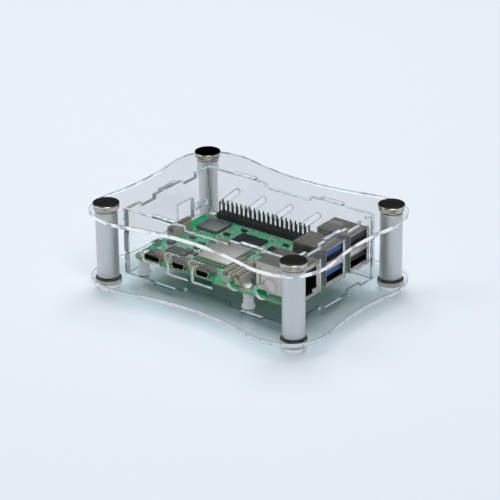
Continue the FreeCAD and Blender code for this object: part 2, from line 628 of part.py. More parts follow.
# ---- ribbon cable connectors --------------------------------------------------------------------
RIBBON_HEIGHT = 5.0
RIBBON_WIDTH = 4.0
RIBBON_WALL = 0.5
RIBBON_CHANNEL_DEPTH = 2.8
RIBBON_SLOT = 0.6                         # gap the ribbon goes into
RIBBON_END_WALL = 0.8
RIBBON_EAR_STEP = 1.2                     # the latch's ears start this far above the channel floor
RIBBON_CONTACT_SLOT = (0.4, 1.4)          # width, depth below the channel
LATCH_LIFT = 0.1                          # gap under a closed latch
LATCH_EAR = 0.5                           # an ear's overhang beyond the housing
LATCH_GAP = 0.05                          # running clearance each side of a latch
LATCH_PROUD = 0.7
CAMERA_CONNECTORS = (("left", 50.6, 1.4), ("right", 56.9, 1.4))   # side, middle x, low y
CAMERA_LENGTH = 14.0
PCIE_CONNECTOR = (4.2, 21.5, 12.0)        # middle x, low y, length


def ribbon_connector(x, y0, length):
    """Housing and sliding latch of an upright ribbon connector, long side along Y."""
    half = RIBBON_WIDTH / 2
    body = Part.makeBox(RIBBON_WIDTH, length, RIBBON_HEIGHT, Vec(x - half, y0, 0))
    channel_width = RIBBON_WIDTH - 2 * RIBBON_WALL
    low_x, y_channel = x - channel_width / 2, y0 + RIBBON_END_WALL
    channel_length = length - 2 * RIBBON_END_WALL
    floor = RIBBON_HEIGHT - RIBBON_CHANNEL_DEPTH
    step = floor + RIBBON_EAR_STEP
    channel = Part.makeBox(channel_width, channel_length, RIBBON_CHANNEL_DEPTH,
                           Vec(low_x, y_channel, floor))
    ear_slot = Part.makeBox(channel_width - RIBBON_SLOT, length, RIBBON_HEIGHT - step,
                            Vec(low_x + RIBBON_SLOT, y0, step))
    contact_width, contact_depth = RIBBON_CONTACT_SLOT
    contact_slot = Part.makeBox(contact_width, channel_length, contact_depth,
                                Vec(low_x, y_channel, floor - contact_depth))
    housing = body.cut(Part.makeCompound([channel, ear_slot, contact_slot]))

    x0 = low_x + RIBBON_SLOT + LATCH_GAP
    latch_width = channel_width - RIBBON_SLOT - 2 * LATCH_GAP
    top = RIBBON_HEIGHT + LATCH_PROUD
    low_bar, low_ears = floor + LATCH_LIFT, step + LATCH_LIFT
    bar = Part.makeBox(latch_width, channel_length - 2 * LATCH_GAP, top - low_bar,
                       Vec(x0, y_channel + LATCH_GAP, low_bar))
    ears = Part.makeBox(latch_width, length + 2 * LATCH_EAR, top - low_ears,
                        Vec(x0, y0 - LATCH_EAR, low_ears))
    return on_board(housing), on_board(bar.fuse(ears).removeSplitter())


def ribbon_connectors():
    for side, x, y0 in CAMERA_CONNECTORS:
        housing, latch = ribbon_connector(x, y0, CAMERA_LENGTH)
        save("camera_connector_" + side, housing)
        save("camera_latch_" + side, latch)
    housing, latch = ribbon_connector(*PCIE_CONNECTOR)
    save("expansion_connector", housing)
    save("expansion_latch", latch)


# ---- port end connectors ------------------------------------------------------------------------
PORT_END_X = 88.1                         # outer faces of the three large connectors
NETWORK = (2.2, 18.2, 21.3, 13.5)         # low y, high y, depth, height
NETWORK_WALL = 0.4
NETWORK_MOUTH = (11.9, 8.6)               # width, height
NETWORK_MOUTH_LOW_Z = 2.6
NETWORK_FLOOR = 0.6                       # the moulded insert starts this far above the board
NETWORK_FRONT = 1.5                       # depth of the shell's front frame, cut by the mouth
NETWORK_KEY = (6.0, 1.7)                  # width, height of the plug latch's way under the mouth
NETWORK_KEY_DEPTH = 9.0
NETWORK_CAVITY_DEPTH = 13.0
USB_WIDTH, USB_DEPTH, USB_HEIGHT = 13.3, 17.5, 16.0
USB_MIDDLES = {"usb3": 29.1, "usb2": 47.0}
USB_MOUTH = (12.5, 5.6)                   # width, height
USB_MOUTH_LOW_Z = (1.6, 9.7)
USB_MOUTH_DEPTH = 13.0
USB_TONGUE = (11.1, 2.8, 12.2)            # width, height, length
USB_TONGUE_GAP = 0.35                      # between a tongue and the top of its mouth
USB_ROOT_DEPTH = 2.0                      # block that a tongue grows from
USB_ROOT_FIT = 0.05


def network_socket():
    y0, y1, depth, height = NETWORK
    mid, wall = (y0 + y1) / 2, NETWORK_WALL
    outer = Part.makeBox(depth, y1 - y0, height, Vec(PORT_END_X - depth, y0, 0))
    core = Part.makeBox(depth - 2 * wall, y1 - y0 - 2 * wall, height - wall - NETWORK_FLOOR,
                        Vec(PORT_END_X - depth + wall, y0 + wall, NETWORK_FLOOR))

    def mouth(mouth_depth, key_depth):
        """Cutter for the plug's way and, under it, the way of the plug's latch."""
        width, mouth_height = NETWORK_MOUTH
        key_width, key_height = NETWORK_KEY
        way = Part.makeBox(mouth_depth, width, mouth_height,
                           Vec(PORT_END_X - mouth_depth, mid - width / 2, NETWORK_MOUTH_LOW_Z))
        key = Part.makeBox(key_depth, key_width, key_height,
                           Vec(PORT_END_X - key_depth, mid - key_width / 2,
                               NETWORK_MOUTH_LOW_Z - key_height))
        return way.fuse(key)

    save("network_shell", on_board(outer.cut(core).cut(mouth(NETWORK_FRONT, NETWORK_FRONT))))
    save("network_insert", on_board(core.cut(mouth(NETWORK_CAVITY_DEPTH, NETWORK_KEY_DEPTH))))


def usb_stack(name, y_mid):
    """Metal shell and moulded tongues of a stacked pair of sockets."""
    shell = Part.makeBox(USB_DEPTH, USB_WIDTH, USB_HEIGHT,
                         Vec(PORT_END_X - USB_DEPTH, y_mid - USB_WIDTH / 2, 0))
    width, height = USB_MOUTH
    tongue_width, tongue_height, reach = USB_TONGUE
    root_x, fit = PORT_END_X - USB_MOUTH_DEPTH, USB_ROOT_FIT
    cavities, tongues = [], []
    for low in USB_MOUTH_LOW_Z:
        cavities.append(Part.makeBox(USB_MOUTH_DEPTH, width, height, Vec(root_x, y_mid - width / 2, low)))
        tongue_low = low + height - tongue_height - USB_TONGUE_GAP
        tongue = Part.makeBox(reach, tongue_width, tongue_height,
                              Vec(root_x, y_mid - tongue_width / 2, tongue_low))
        root = Part.makeBox(USB_ROOT_DEPTH, width - 2 * fit, height - 2 * fit,
                            Vec(root_x, y_mid - width / 2 + fit, low + fit))
        tongues.append(on_board(tongue.fuse(root).removeSplitter()))
    save(name + "_shell", on_board(shell.cut(Part.makeCompound(cavities))))
    save(name + "_tongues", *tongues)


def port_end():
    network_socket()
    for name, y_mid in USB_MIDDLES.items():
        usb_stack(name, y_mid)


# ---- left edge and underside --------------------------------------------------------------------
BUTTON_MIDDLE_Y = 14.9
BUTTON_BODY = (2.7, 3.8, 1.7)             # depth along X, width along Y, height
BUTTON_HOUSING_X = 0.3
PLUNGER = (2.2, 0.9)                      # width along Y, height
PLUNGER_PROUD = 1.3                       # beyond the housing at rest
PLUNGER_HELD = 1.0                        # length inside the housing
PLUNGER_POCKET = 1.4
BUTTON_FIT = 0.05
LED = (0.5, 2.1, 7.4, 8.4, 0.8)
CARD_SLOT = (1.2, 15.6, 21.0, 35.0, 1.5)  # low x, high x, low y, high y, height
CARD_CAGE_WALLS = (1.0, 0.8, 0.25)        # at the back, at the sides, above and below


def power_button():
    depth, width, height = BUTTON_BODY
    body = Part.makeBox(depth, width, height, Vec(BUTTON_HOUSING_X, BUTTON_MIDDLE_Y - width / 2, 0))
    stem_width, stem_height = PLUNGER
    y0, z0, fit = BUTTON_MIDDLE_Y - stem_width / 2, (height - stem_height) / 2, BUTTON_FIT
    pocket = Part.makeBox(PLUNGER_POCKET, stem_width + 2 * fit, stem_height + 2 * fit,
                          Vec(BUTTON_HOUSING_X, y0 - fit, z0 - fit))
    save("power_button_housing", on_board(body.cut(pocket)))
    stem = Part.makeBox(PLUNGER_PROUD + PLUNGER_HELD, stem_width, stem_height,
                        Vec(BUTTON_HOUSING_X - PLUNGER_PROUD, y0, z0))
    save("power_button_plunger", on_board(stem))


def small_edge_parts():
    power_button()
    x0, x1, y0, y1, height = LED
    save("status_led", on_board(Part.makeBox(x1 - x0, y1 - y0, height, Vec(x0, y0, 0))))
    x0, x1, y0, y1, height = CARD_SLOT
    low, (back, side, sheet) = -BOARD_T - height, CARD_CAGE_WALLS
    cage = Part.makeBox(x1 - x0, y1 - y0, height, Vec(x0, y0, low))
    card_way = Part.makeBox(x1 - x0 - back, y1 - y0 - 2 * side, height - 2 * sheet,
                            Vec(x0, y0 + side, low + sheet))
    save("card_slot", on_board(cage.cut(card_way)))


os.makedirs("parts", exist_ok=True)
plates()
walls()
pillars_and_screws()
board_fasteners()
board_and_chips()
headers()
front_connectors()
ribbon_connectors()
port_end()
small_edge_parts()
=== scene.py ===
"""Looks of a single board computer in a clear stacked-sheet case with four metal pillars.

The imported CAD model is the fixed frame: every place comes from the boxes of its nodes. Pieces are
modelled in millimetres in that frame, turned to metres when they are finished, and ride on the
CAD body that they belong to.
"""
import json
import logging
import math
import random
from dataclasses import dataclass
from enum import Enum
from typing import Sequence

import bmesh
import bpy
from mathutils import Matrix, Vector


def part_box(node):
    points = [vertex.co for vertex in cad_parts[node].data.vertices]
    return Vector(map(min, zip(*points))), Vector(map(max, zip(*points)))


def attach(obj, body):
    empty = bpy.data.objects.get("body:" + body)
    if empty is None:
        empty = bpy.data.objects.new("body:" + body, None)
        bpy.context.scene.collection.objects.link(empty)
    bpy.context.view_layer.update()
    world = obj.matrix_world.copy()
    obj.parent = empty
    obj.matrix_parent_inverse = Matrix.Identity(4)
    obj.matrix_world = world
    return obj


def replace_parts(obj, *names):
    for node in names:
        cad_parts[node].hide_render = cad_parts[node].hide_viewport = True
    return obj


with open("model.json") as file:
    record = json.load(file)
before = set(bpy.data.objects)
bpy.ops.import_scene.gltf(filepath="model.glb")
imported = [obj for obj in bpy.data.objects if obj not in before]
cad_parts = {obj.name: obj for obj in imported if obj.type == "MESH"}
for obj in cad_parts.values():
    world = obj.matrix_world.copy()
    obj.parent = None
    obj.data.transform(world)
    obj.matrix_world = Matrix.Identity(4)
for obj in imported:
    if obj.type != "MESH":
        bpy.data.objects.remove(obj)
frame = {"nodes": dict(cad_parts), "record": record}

log = logging.getLogger("board_case")
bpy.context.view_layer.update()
CASE = "case"
LID = "lid"
METRES = 0.001
BUMP_HEIGHT = 0.02 * METRES
# Slits, seams and windows are painted shade: thin dark plates that stand this far out of the surface
# under them.
PROUD = 0.012
UP = Vector((0, 0, 1))
ACROSS = Vector((0, 1, 0))
CORNERS = ("front_left", "front_right", "back_left", "back_right")


# ---- colours, nodes and finishes ----------------------------------------------------------------
def linear(code: str) -> tuple[float, float, float, float]:
    """Turn an sRGB hex colour into linear red, green, blue and an alpha of one.

    Args:
        code: Six hex digits after a hash sign.

    Returns:
        The colour as Blender's shaders take it.
    """
    parts = [int(code[i:i + 2], 16) / 255 for i in (1, 3, 5)]
    red, green, blue = (c / 12.92 if c <= 0.04045 else ((c + 0.055) / 1.055) ** 2.4 for c in parts)
    return red, green, blue, 1.0


def add_node(tree: bpy.types.NodeTree, kind: str, settings: dict | None = None,
             values: dict | None = None, links: dict | None = None) -> bpy.types.Node:
    """Add one shader node with its settings, plain values and incoming links.

    Args:
        tree: Node tree that gets the node.
        kind: Blender's name for the node type.
        settings: Attributes set on the node itself.
        values: Input socket name or index to a plain value.
        links: Input socket name or index to the output socket that feeds it.

    Returns:
        The new node.
    """
    node = tree.nodes.new(kind)
    for name, value in (settings or {}).items():
        setattr(node, name, value)
    for key, value in (values or {}).items():
        node.inputs[key].default_value = value
    for key, socket in (links or {}).items():
        tree.links.new(socket, node.inputs[key])
    return node


class Surface:
    """A named surface, whose material is made once and shared."""

    name: str

    def wire(self, tree: bpy.types.NodeTree) -> bpy.types.NodeSocket:
        """Add the shader nodes and return the output that the surface shows."""
        raise NotImplementedError

    def build(self) -> bpy.types.Material:
        """Make the material once and hand out the same one later.

        Returns:
            The Blender material of this surface.
        """
        known = bpy.data.materials.get(self.name)
        if known is not None:
            return known
        material = bpy.data.materials.new(self.name)
        material.use_nodes = True
        tree = material.node_tree
        tree.nodes.clear()
        add_node(tree, "ShaderNodeOutputMaterial", links={"Surface": self.wire(tree)})
        return material


@dataclass(frozen=True)
class Grain:
    """Fine surface relief of a finish, sized in millimetres.

    Grit finer than about 0.1 mm wouldn't show, so it is drawn as coarse as it needs to be.
    """

    size_mm: float = 0.4
    relief: float = 0.1
    stretch: tuple[float, float, float] = (1.0, 1.0, 1.0)


@dataclass(frozen=True)
class Finish(Surface):
    """One real material and the way its surface was made.

    The grain varies the colour, the roughness and the bump, so that no surface is one flat tone.
    """

    name: str
    colour: str
    colour_two: str
    roughness: float
    metallic: float = 0.0
    ior: float = 1.5
    coat: float = 0.0
    transmission: float = 0.0
    subsurface: float = 0.0
    roughness_drift: float = 0.08
    # Emission strength: a painted glow, for a surface that should look as if it held light inside.
    painted_inner_glow: float = 0.0
    grain: Grain = Grain()

    def wire(self, tree: bpy.types.NodeTree) -> bpy.types.NodeSocket:
        """Wire one noise into the colour, the roughness and the bump.

        Args:
            tree: Empty node tree of the material.

        Returns:
            The output that the surface shows.
        """
        place = add_node(tree, "ShaderNodeTexCoord")
        scale = tuple(1 / (self.grain.size_mm * METRES * s) for s in self.grain.stretch)
        mapping = add_node(tree, "ShaderNodeMapping", values={"Scale": scale},
                           links={"Vector": place.outputs["Object"]})
        noise = add_node(tree, "ShaderNodeTexNoise", values={"Scale": 1.0, "Detail": 3.0},
                         links={"Vector": mapping.outputs["Vector"]})
        tone = add_node(tree, "ShaderNodeMix", {"data_type": "RGBA"},
                        {"A": linear(self.colour), "B": linear(self.colour_two)},
                        {"Factor": noise.outputs["Fac"]})
        rough = add_node(tree, "ShaderNodeMapRange",
                         values={"To Min": max(0.02, self.roughness - self.roughness_drift),
                                 "To Max": self.roughness + self.roughness_drift},
                         links={"Value": noise.outputs["Fac"]})
        bump = add_node(tree, "ShaderNodeBump",
                        values={"Strength": self.grain.relief, "Distance": BUMP_HEIGHT},
                        links={"Height": noise.outputs["Fac"]})
        shader = add_node(tree, "ShaderNodeBsdfPrincipled",
                          values={"Metallic": self.metallic, "IOR": self.ior, "Coat Weight": self.coat,
                                  "Transmission Weight": self.transmission,
                                  "Subsurface Weight": self.subsurface,
                                  "Emission Strength": self.painted_inner_glow},
                          links={"Base Color": tone.outputs["Result"],
                                 "Emission Color": tone.outputs["Result"],
                                 "Roughness": rough.outputs["Result"],
                                 "Normal": bump.outputs["Normal"]})
        return shader.outputs["BSDF"]


@dataclass(frozen=True)
class ClearSheet(Surface):
    """Cast acrylic: clear, with the light of lamps and floor let straight through.

    The index is a little under acrylic's 1.49, which keeps the mirrored studio faint.
    """

    name: str
    tint: str
    roughness: float
    shade: str
    ior: float = 1.38

    def wire(self, tree: bpy.types.NodeTree) -> bpy.types.NodeSocket:
        """Wire glass that lets lamps and bounced light straight through.

        Args:
            tree: Empty node tree of the material.

        Returns:
            The output that the surface shows.
        """
        glass = add_node(tree, "ShaderNodeBsdfPrincipled",
                         values={"Base Color": linear(self.tint), "Roughness": self.roughness,
                                 "IOR": self.ior, "Transmission Weight": 1.0})
        open_way = add_node(tree, "ShaderNodeBsdfTransparent", values={"Color": linear(self.shade)})
        path = add_node(tree, "ShaderNodeLightPath")
        unbent = add_node(tree, "ShaderNodeMixShader",
                          links={0: path.outputs["Is Diffuse Ray"], 1: glass.outputs["BSDF"],
                                 2: open_way.outputs["BSDF"]})
        mix = add_node(tree, "ShaderNodeMixShader",
                       links={0: path.outputs["Is Shadow Ray"], 1: unbent.outputs["Shader"],
                              2: open_way.outputs["BSDF"]})
        return mix.outputs["Shader"]


@dataclass(frozen=True)
class CutEdge(Surface):
    """Edge of a clear sheet: a pale band with a painted glow from outside, a painted faint grey seen
    through the sheet.

    Painted dark reflections break the band: streaks of flat dark colour where the edge would mirror
    something dark.

    Attributes:
        name: Name of the material.
        glow: Colour of the band and of its painted glow.
        veil: Share of the band that hides what is behind it.
        streak: Colour of the painted dark reflections.
        streak_share: How far a painted dark reflection covers the band.
        streak_mm: Size of the painted dark reflections.
        painted_glow: Strength of the painted glow, an emission that stands in for the light the sheet
            carries to its edge.
        streak_from: Noise level where a painted dark reflection starts.
        inside: Colour of the edge seen from inside the sheet, a painted grey in place of the edge's
            inner mirror.
        streak_rise: Rise of the noise over which a painted dark reflection fades in.
        through: Colour of what shows through the band.
        ior: Index of refraction.
        band_roughness: Roughness of the band.
        streak_roughness: Roughness of the painted dark reflections.
    """

    name: str
    glow: str
    veil: float
    streak: str
    streak_share: float
    streak_mm: float
    painted_glow: float
    streak_from: float
    inside: str = "#dfe6ec"
    streak_rise: float = 0.08
    through: str = "#f3f7fa"
    ior: float = 1.49
    band_roughness: float = 0.25
    streak_roughness: float = 0.3

    def wire(self, tree: bpy.types.NodeTree) -> bpy.types.NodeSocket:
        """Wire the pale band with its painted glow, the painted grey seen from inside and the painted
        dark reflections.

        Args:
            tree: Empty node tree of the material.

        Returns:
            The output that the surface shows.
        """
        place = add_node(tree, "ShaderNodeTexCoord")
        noise = add_node(tree, "ShaderNodeTexNoise", values={"Scale": 1 / (self.streak_mm * METRES)},
                         links={"Vector": place.outputs["Object"]})
        share = add_node(tree, "ShaderNodeMapRange",
                         values={"From Min": self.streak_from,
                                 "From Max": self.streak_from + self.streak_rise,
                                 "To Max": self.streak_share},
                         links={"Value": noise.outputs["Fac"]})
        through = add_node(tree, "ShaderNodeBsdfTransparent", values={"Color": linear(self.through)})
        # The band's shader: a pale satin skin with a painted glow, an emission that stands in for light
        # carried to the edge.
        veil = add_node(tree, "ShaderNodeBsdfPrincipled",
                        values={"Base Color": linear(self.glow), "Roughness": self.band_roughness,
                                "IOR": self.ior, "Emission Color": linear(self.glow),
                                "Emission Strength": self.painted_glow})
        # Painted dark reflection: flat dark colour laid in streaks by the noise.
        streak = add_node(tree, "ShaderNodeBsdfPrincipled",
                          values={"Base Color": linear(self.streak),
                                  "Roughness": self.streak_roughness, "IOR": self.ior})
        band = add_node(tree, "ShaderNodeMixShader", values={0: self.veil},
                        links={1: through.outputs["BSDF"], 2: veil.outputs["BSDF"]})
        surface = add_node(tree, "ShaderNodeNewGeometry")
        # Painted grey for the edge seen from inside, in place of its inner mirror.
        from_inside = add_node(tree, "ShaderNodeBsdfTransparent", values={"Color": linear(self.inside)})
        side = add_node(tree, "ShaderNodeMixShader",
                        links={0: surface.outputs["Backfacing"], 1: band.outputs["Shader"],
                               2: from_inside.outputs["BSDF"]})
        both = add_node(tree, "ShaderNodeMixShader",
                        links={0: share.outputs["Result"], 1: side.outputs["Shader"],
                               2: streak.outputs["BSDF"]})
        return both.outputs["Shader"]


# Cast acrylic sheet keeps its polished skin; a laser leaves its cut edges slightly frosted, and their
# pale band is lit partly by a painted glow. Streaks of painted dark reflection break each band,
# most of all along the fine break of each rim.
ACRYLIC = ClearSheet("cast_acrylic_polished", "#ffffff", 0.0, "#f6fafa")
TOP_EDGE = CutEdge("cast_acrylic_top_edge", "#f6f8fc", 0.75, "#7c8896", 0.6, 6.0, 0.6, 0.52)
BASE_EDGE = CutEdge("cast_acrylic_base_edge", "#dde5ec", 0.6, "#6f7a85", 0.75, 1.9, 0.6, 0.6)
FRONT_EDGE = CutEdge("cast_acrylic_front_edge", "#f6f8fb", 0.45, "#6f7a84", 0.6, 2.0, 0.4, 0.53)
WALL_EDGE = CutEdge("cast_acrylic_wall_edge", "#eef3f7", 0.3, "#4f6158", 0.45, 0.7, 0.35, 0.55)
PLATE_RIM = CutEdge("cast_acrylic_plate_rim", "#d5dce4", 0.3, "#566168", 0.8, 5.0, 0.2, 0.42, "#aab4bb")
WALL_RIM = CutEdge("cast_acrylic_wall_rim", "#d5dce4", 0.3, "#343f42", 0.92, 2.8, 0.2, 0.48, "#c9d2d8")
# Extruded aluminium, glass-beaded and clear anodised: an even grey with a wide soft highlight.
ANODISED = Finish("anodised_aluminium_satin", "#dfe1e2", "#d6d8d9", 0.52, metallic=1.0,
                  grain=Grain(0.15, 0.15, stretch=(1.0, 1.0, 30.0)))
# Turned steel with bright nickel plate: warm, with crisp glints on the knurling.
NICKEL = Finish("nickel_plated_steel_turned", "#d8d2c6", "#c4bdb0", 0.2, metallic=1.0,
                grain=Grain(0.5, 0.05))
# Self-adhesive film of black polyester: gloss with the faintest orange peel.
BLACK_FILM = Finish("polyester_film_black_gloss", "#0d0b0a", "#14110f", 0.2, coat=0.2,
                    grain=Grain(0.8, 0.08))
# Painted shade: a dull dark brown on the top of each foot, where it meets the base plate.
FOOT_TOP_SHADE = Finish("painted_shade_foot_top", "#1d1510", "#2a2019", 0.6, grain=Grain(0.3, 0.3))
# Translucent moulded elastomer: milky; a faint painted glow, an emission, stands in for the light that
# passes a little way in.
RUBBER = Finish("silicone_rubber_moulded", "#f8fafb", "#eef1f3", 0.5, painted_inner_glow=0.25,
                grain=Grain(0.3, 0.2))
# Pressed steel under bright zinc: a pale grey, softly dulled.
SCREW_STEEL = Finish("zinc_plated_steel_pressed", "#eceae6", "#d9d6d1", 0.45, metallic=1.0,
                     grain=Grain(0.5, 0.1))
# Natural nylon: milky, faintly pink; a painted glow, an emission, keeps it pale in the shade, in place
# of the light it carries inside.
NYLON = Finish("nylon_natural_moulded", "#f2f0f2", "#dedde0", 0.35, transmission=0.3, painted_inner_glow=0.12,
               grain=Grain(0.6, 0.1))
# Liquid mask cured over copper: deep emerald with a lacquer gloss, paler over the pours.
SOLDER_MASK = Finish("solder_mask_green_cured", "#009462", "#02ad76", 0.28, ior=1.36,
                     grain=Grain(7.0, 0.04))
MASK_OVER_COPPER = Finish("solder_mask_over_track", "#1cbb84", "#2bc890", 0.28, ior=1.36,
                          grain=Grain(1.0, 0.1))
# Routed glass laminate: the cut edge lets the glass through, so it is a pale lime.
LAMINATE_CUT = Finish("glass_laminate_routed", "#86c47a", "#62a860", 0.55, grain=Grain(0.25, 0.4))
# Glass laminate under green mask, the carrier of a chip: dark green, satin.
SUBSTRATE = Finish("laminate_green", "#0a5f3a", "#0d6e45", 0.4, grain=Grain(0.6, 0.1))
# White epoxy ink, screen printed: matt.
LEGEND_INK = Finish("legend_ink_printed", "#e4e9e4", "#d4dbd5", 0.6, grain=Grain(0.3, 0.1))
# Immersion gold on copper pads: warm and satin.
PAD_GOLD = Finish("immersion_gold_pad", "#cbb274", "#b89f63", 0.3, metallic=1.0, grain=Grain(0.3, 0.1))
# Tin solder, reflowed: bright grey with a slightly grained skin.
SOLDER = Finish("tin_solder_reflowed", "#c6c8c8", "#adb0b1", 0.28, metallic=1.0, grain=Grain(0.2, 0.3))
# Tin barrel plate on the ends of small chips: pale and dull.
CHIP_END = Finish("tin_barrel_plated", "#e8eaea", "#d2d5d5", 0.5, metallic=0.4, grain=Grain(0.2, 0.2))
# Nickel-plated copper lid, bead blasted: a warm light grey with fine streaks along its length.
LID_METAL = Finish("nickel_plated_copper_blasted", "#d2cbc4", "#b5aea7", 0.36, metallic=1.0,
                   grain=Grain(0.12, 0.3, stretch=(14.0, 1.0, 1.0)))
# Filled epoxy, moulded round a chip: near black with a fine matt skin.
EPOXY = Finish("epoxy_mould_compound", "#0b0b0e", "#101014", 0.36, ior=1.3, grain=Grain(0.08, 0.06))
# The same epoxy, painted a little greyer for the power chip: painted sheen for the reflection on its
# top.
EPOXY_SHEEN = Finish("epoxy_mould_compound_painted_sheen", "#1c1d22", "#222329", 0.4, grain=Grain(0.08, 0.06))
# Pressed nickel silver: a mid grey with soft, broad highlights.
SHIELD = Finish("nickel_silver_pressed", "#8f8f90", "#7c7c80", 0.36, metallic=1.0,
                grain=Grain(0.3, 0.15))
# Sintered ferrite: charcoal grey, dry and slightly grained.
FERRITE = Finish("ferrite_sintered", "#2f3034", "#3e3f44", 0.6, grain=Grain(0.1, 0.4))
# Barium titanate chip capacitor: fired ceramic, tan to brown.
CERAMIC_TAN = Finish("chip_capacitor_fired", "#94806a", "#7b6a57", 0.5, grain=Grain(0.3, 0.2))
# Thick-film chip resistor: black glaze over a white ceramic.
RESISTOR_GLAZE = Finish("chip_resistor_glazed", "#16171a", "#222327", 0.3, grain=Grain(0.3, 0.1))
# Glass-filled nylon: deep black, satin, with a faint moulded grain.
HEADER_BLACK = Finish("glass_filled_nylon_black", "#060708", "#0e0f10", 0.42, ior=1.32,
                      grain=Grain(0.2, 0.2))
# Brass pins under a flash of gold, painted a dull olive grey: painted shade for the shade the pins cast
# on one another.
GOLD_PIN = Finish("flash_gold_on_brass", "#67685c", "#54564b", 0.3, metallic=1.0,
                  grain=Grain(0.3, 0.05))
# Thicker gold on spring contacts: warm yellow with sharp glints.
CONTACT_GOLD = Finish("gold_plated_contact", "#d8b765", "#c7a557", 0.25, metallic=1.0,
                      grain=Grain(0.3, 0.05))
# Drawn steel strip with dull tin plate: warm grey, a little streaked.
SHELL_STEEL = Finish("tin_plated_steel_drawn", "#c9c2b8", "#b0a99f", 0.2, metallic=1.0,
                     grain=Grain(0.4, 0.12))
# Painted shade: a matt, near-black sheet laid in slits, seams and windows, where there is only shade.
SHADOW_GAP = Finish("painted_shade_gap", "#0b0b0c", "#101011", 0.7, grain=Grain(0.3, 0.1))
# Liquid crystal polymer: warm cream, faintly waxy.
CREAM = Finish("liquid_crystal_polymer_cream", "#d9d0b8", "#cac1a9", 0.48, subsurface=0.08,
               grain=Grain(0.4, 0.15))
# Tan polyamide of the housing floors: warm brown, satin.
BEIGE_BASE = Finish("polyamide_tan_moulded", "#b98a56", "#a67a4a", 0.5, grain=Grain(0.4, 0.15))
# Brown polyamide of the ribbon latches: earthy and satin.
LATCH = Finish("polyamide_brown_moulded", "#7b6c56", "#695b49", 0.5, grain=Grain(0.4, 0.15))
# Black polybutylene of socket inserts: deep black with a light grain.
SOCKET_BLACK = Finish("polybutylene_black_moulded", "#0b0c0e", "#141518", 0.4, grain=Grain(0.3, 0.15))
# Blue polybutylene of the faster sockets: a clear strong blue, satin.
SOCKET_BLUE = Finish("polybutylene_blue_moulded", "#0a63c4", "#0857b0", 0.4, grain=Grain(0.3, 0.15))
# Polyoxymethylene: off-white, slightly greasy gloss.
WHITE_PLASTIC = Finish("polyoxymethylene_white", "#e6e5e0", "#dad9d4", 0.4, grain=Grain(0.3, 0.1))
# Clear cast epoxy over a small light: pale and wet-looking.
LED_LENS = Finish("epoxy_clear_cast", "#dfe6cf", "#cfd8bd", 0.2, subsurface=0.2, grain=Grain(0.3, 0.05))
# Green light pipe, unlit: pale leaf green, glossy.
LENS_GREEN = Finish("light_pipe_green", "#b9cf9a", "#a9c08a", 0.2, transmission=0.3,
                    grain=Grain(0.3, 0.05))
# Amber light pipe, unlit: honey, glossy.
LENS_AMBER = Finish("light_pipe_amber", "#d9b36a", "#c9a25a", 0.2, transmission=0.3,
                    grain=Grain(0.3, 0.05))


CAD_FINISHES: dict[str, Finish] = {
    "black_inlay": BLACK_FILM, "foot_rubber": RUBBER, "screw_steel": SCREW_STEEL, "nylon": NYLON,
    "green_mask": SOLDER_MASK, "substrate": SUBSTRATE, "lid_metal": LID_METAL, "mould_black": EPOXY,
    "shield_metal": SHIELD, "ferrite": FERRITE, "header_black": HEADER_BLACK, "pin_gold": GOLD_PIN,
    "shell_steel": SHELL_STEEL, "cream_plastic": CREAM, "latch_brown": LATCH,
    "blue_plastic": SOCKET_BLUE, "led_lens": LED_LENS, "white_plastic": WHITE_PLASTIC,
    "satin_aluminium": ANODISED, "nickel": NICKEL,
}


# ---- shapes ---------------------------------------------------------------------------------------
def spread(middle: float, count: int, pitch: float) -> list[float]:
    """Places of a row of equal parts about its middle.

    Args:
        middle: Middle of the row.
        count: Number of parts.
        pitch: Distance from one part to the next.

    Returns:
        One place for each part, lowest first.
    """
    return [middle + (i - (count - 1) / 2) * pitch for i in range(count)]


@dataclass(frozen=True)
class Extent:
    """Box of a CAD node in millimetres."""

    low: Vector
    high: Vector

    @classmethod
    def of(cls, node: str) -> "Extent":
        """Read a node's box from the frame."""
        low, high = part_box(node)
        return cls(low / METRES, high / METRES)

    @classmethod
    def pieces_of(cls, node: str) -> list["Extent"]:
        """Read the boxes of a node's separate solids.

        Args:
            node: CAD node, with one solid or a group of them.

        Returns:
            One box for each solid, in millimetres.
        """
        bm = bmesh.new()
        bm.from_mesh(frame["nodes"][node].data)
        bmesh.ops.remove_doubles(bm, verts=bm.verts, dist=1e-6)
        left, boxes = set(bm.verts), []
        for seed in list(bm.verts):
            if seed not in left:
                continue
            left.discard(seed)
            island, edge_of = [seed], [seed]
            while edge_of:
                vert = edge_of.pop()
                near = {e.other_vert(vert) for e in vert.link_edges} & left
                left -= near
                island += near
                edge_of += near
            low, high = (Vector(pick(v.co[i] for v in island) for i in range(3)) for pick in (min, max))
            boxes.append(cls(low / METRES, high / METRES))
        bm.free()
        return boxes

    @property
    def middle(self) -> Vector:
        """Centre of the box."""
        return (self.low + self.high) / 2

    @property
    def size(self) -> Vector:
        """Edge lengths of the box."""
        return self.high - self.low

    def sides(self, axis: int) -> list[tuple[int, float]]:
        """Give the direction and the place of the two faces across an axis."""
        return [(side, self.middle[axis] + side * self.size[axis] / 2) for side in (-1, 1)]


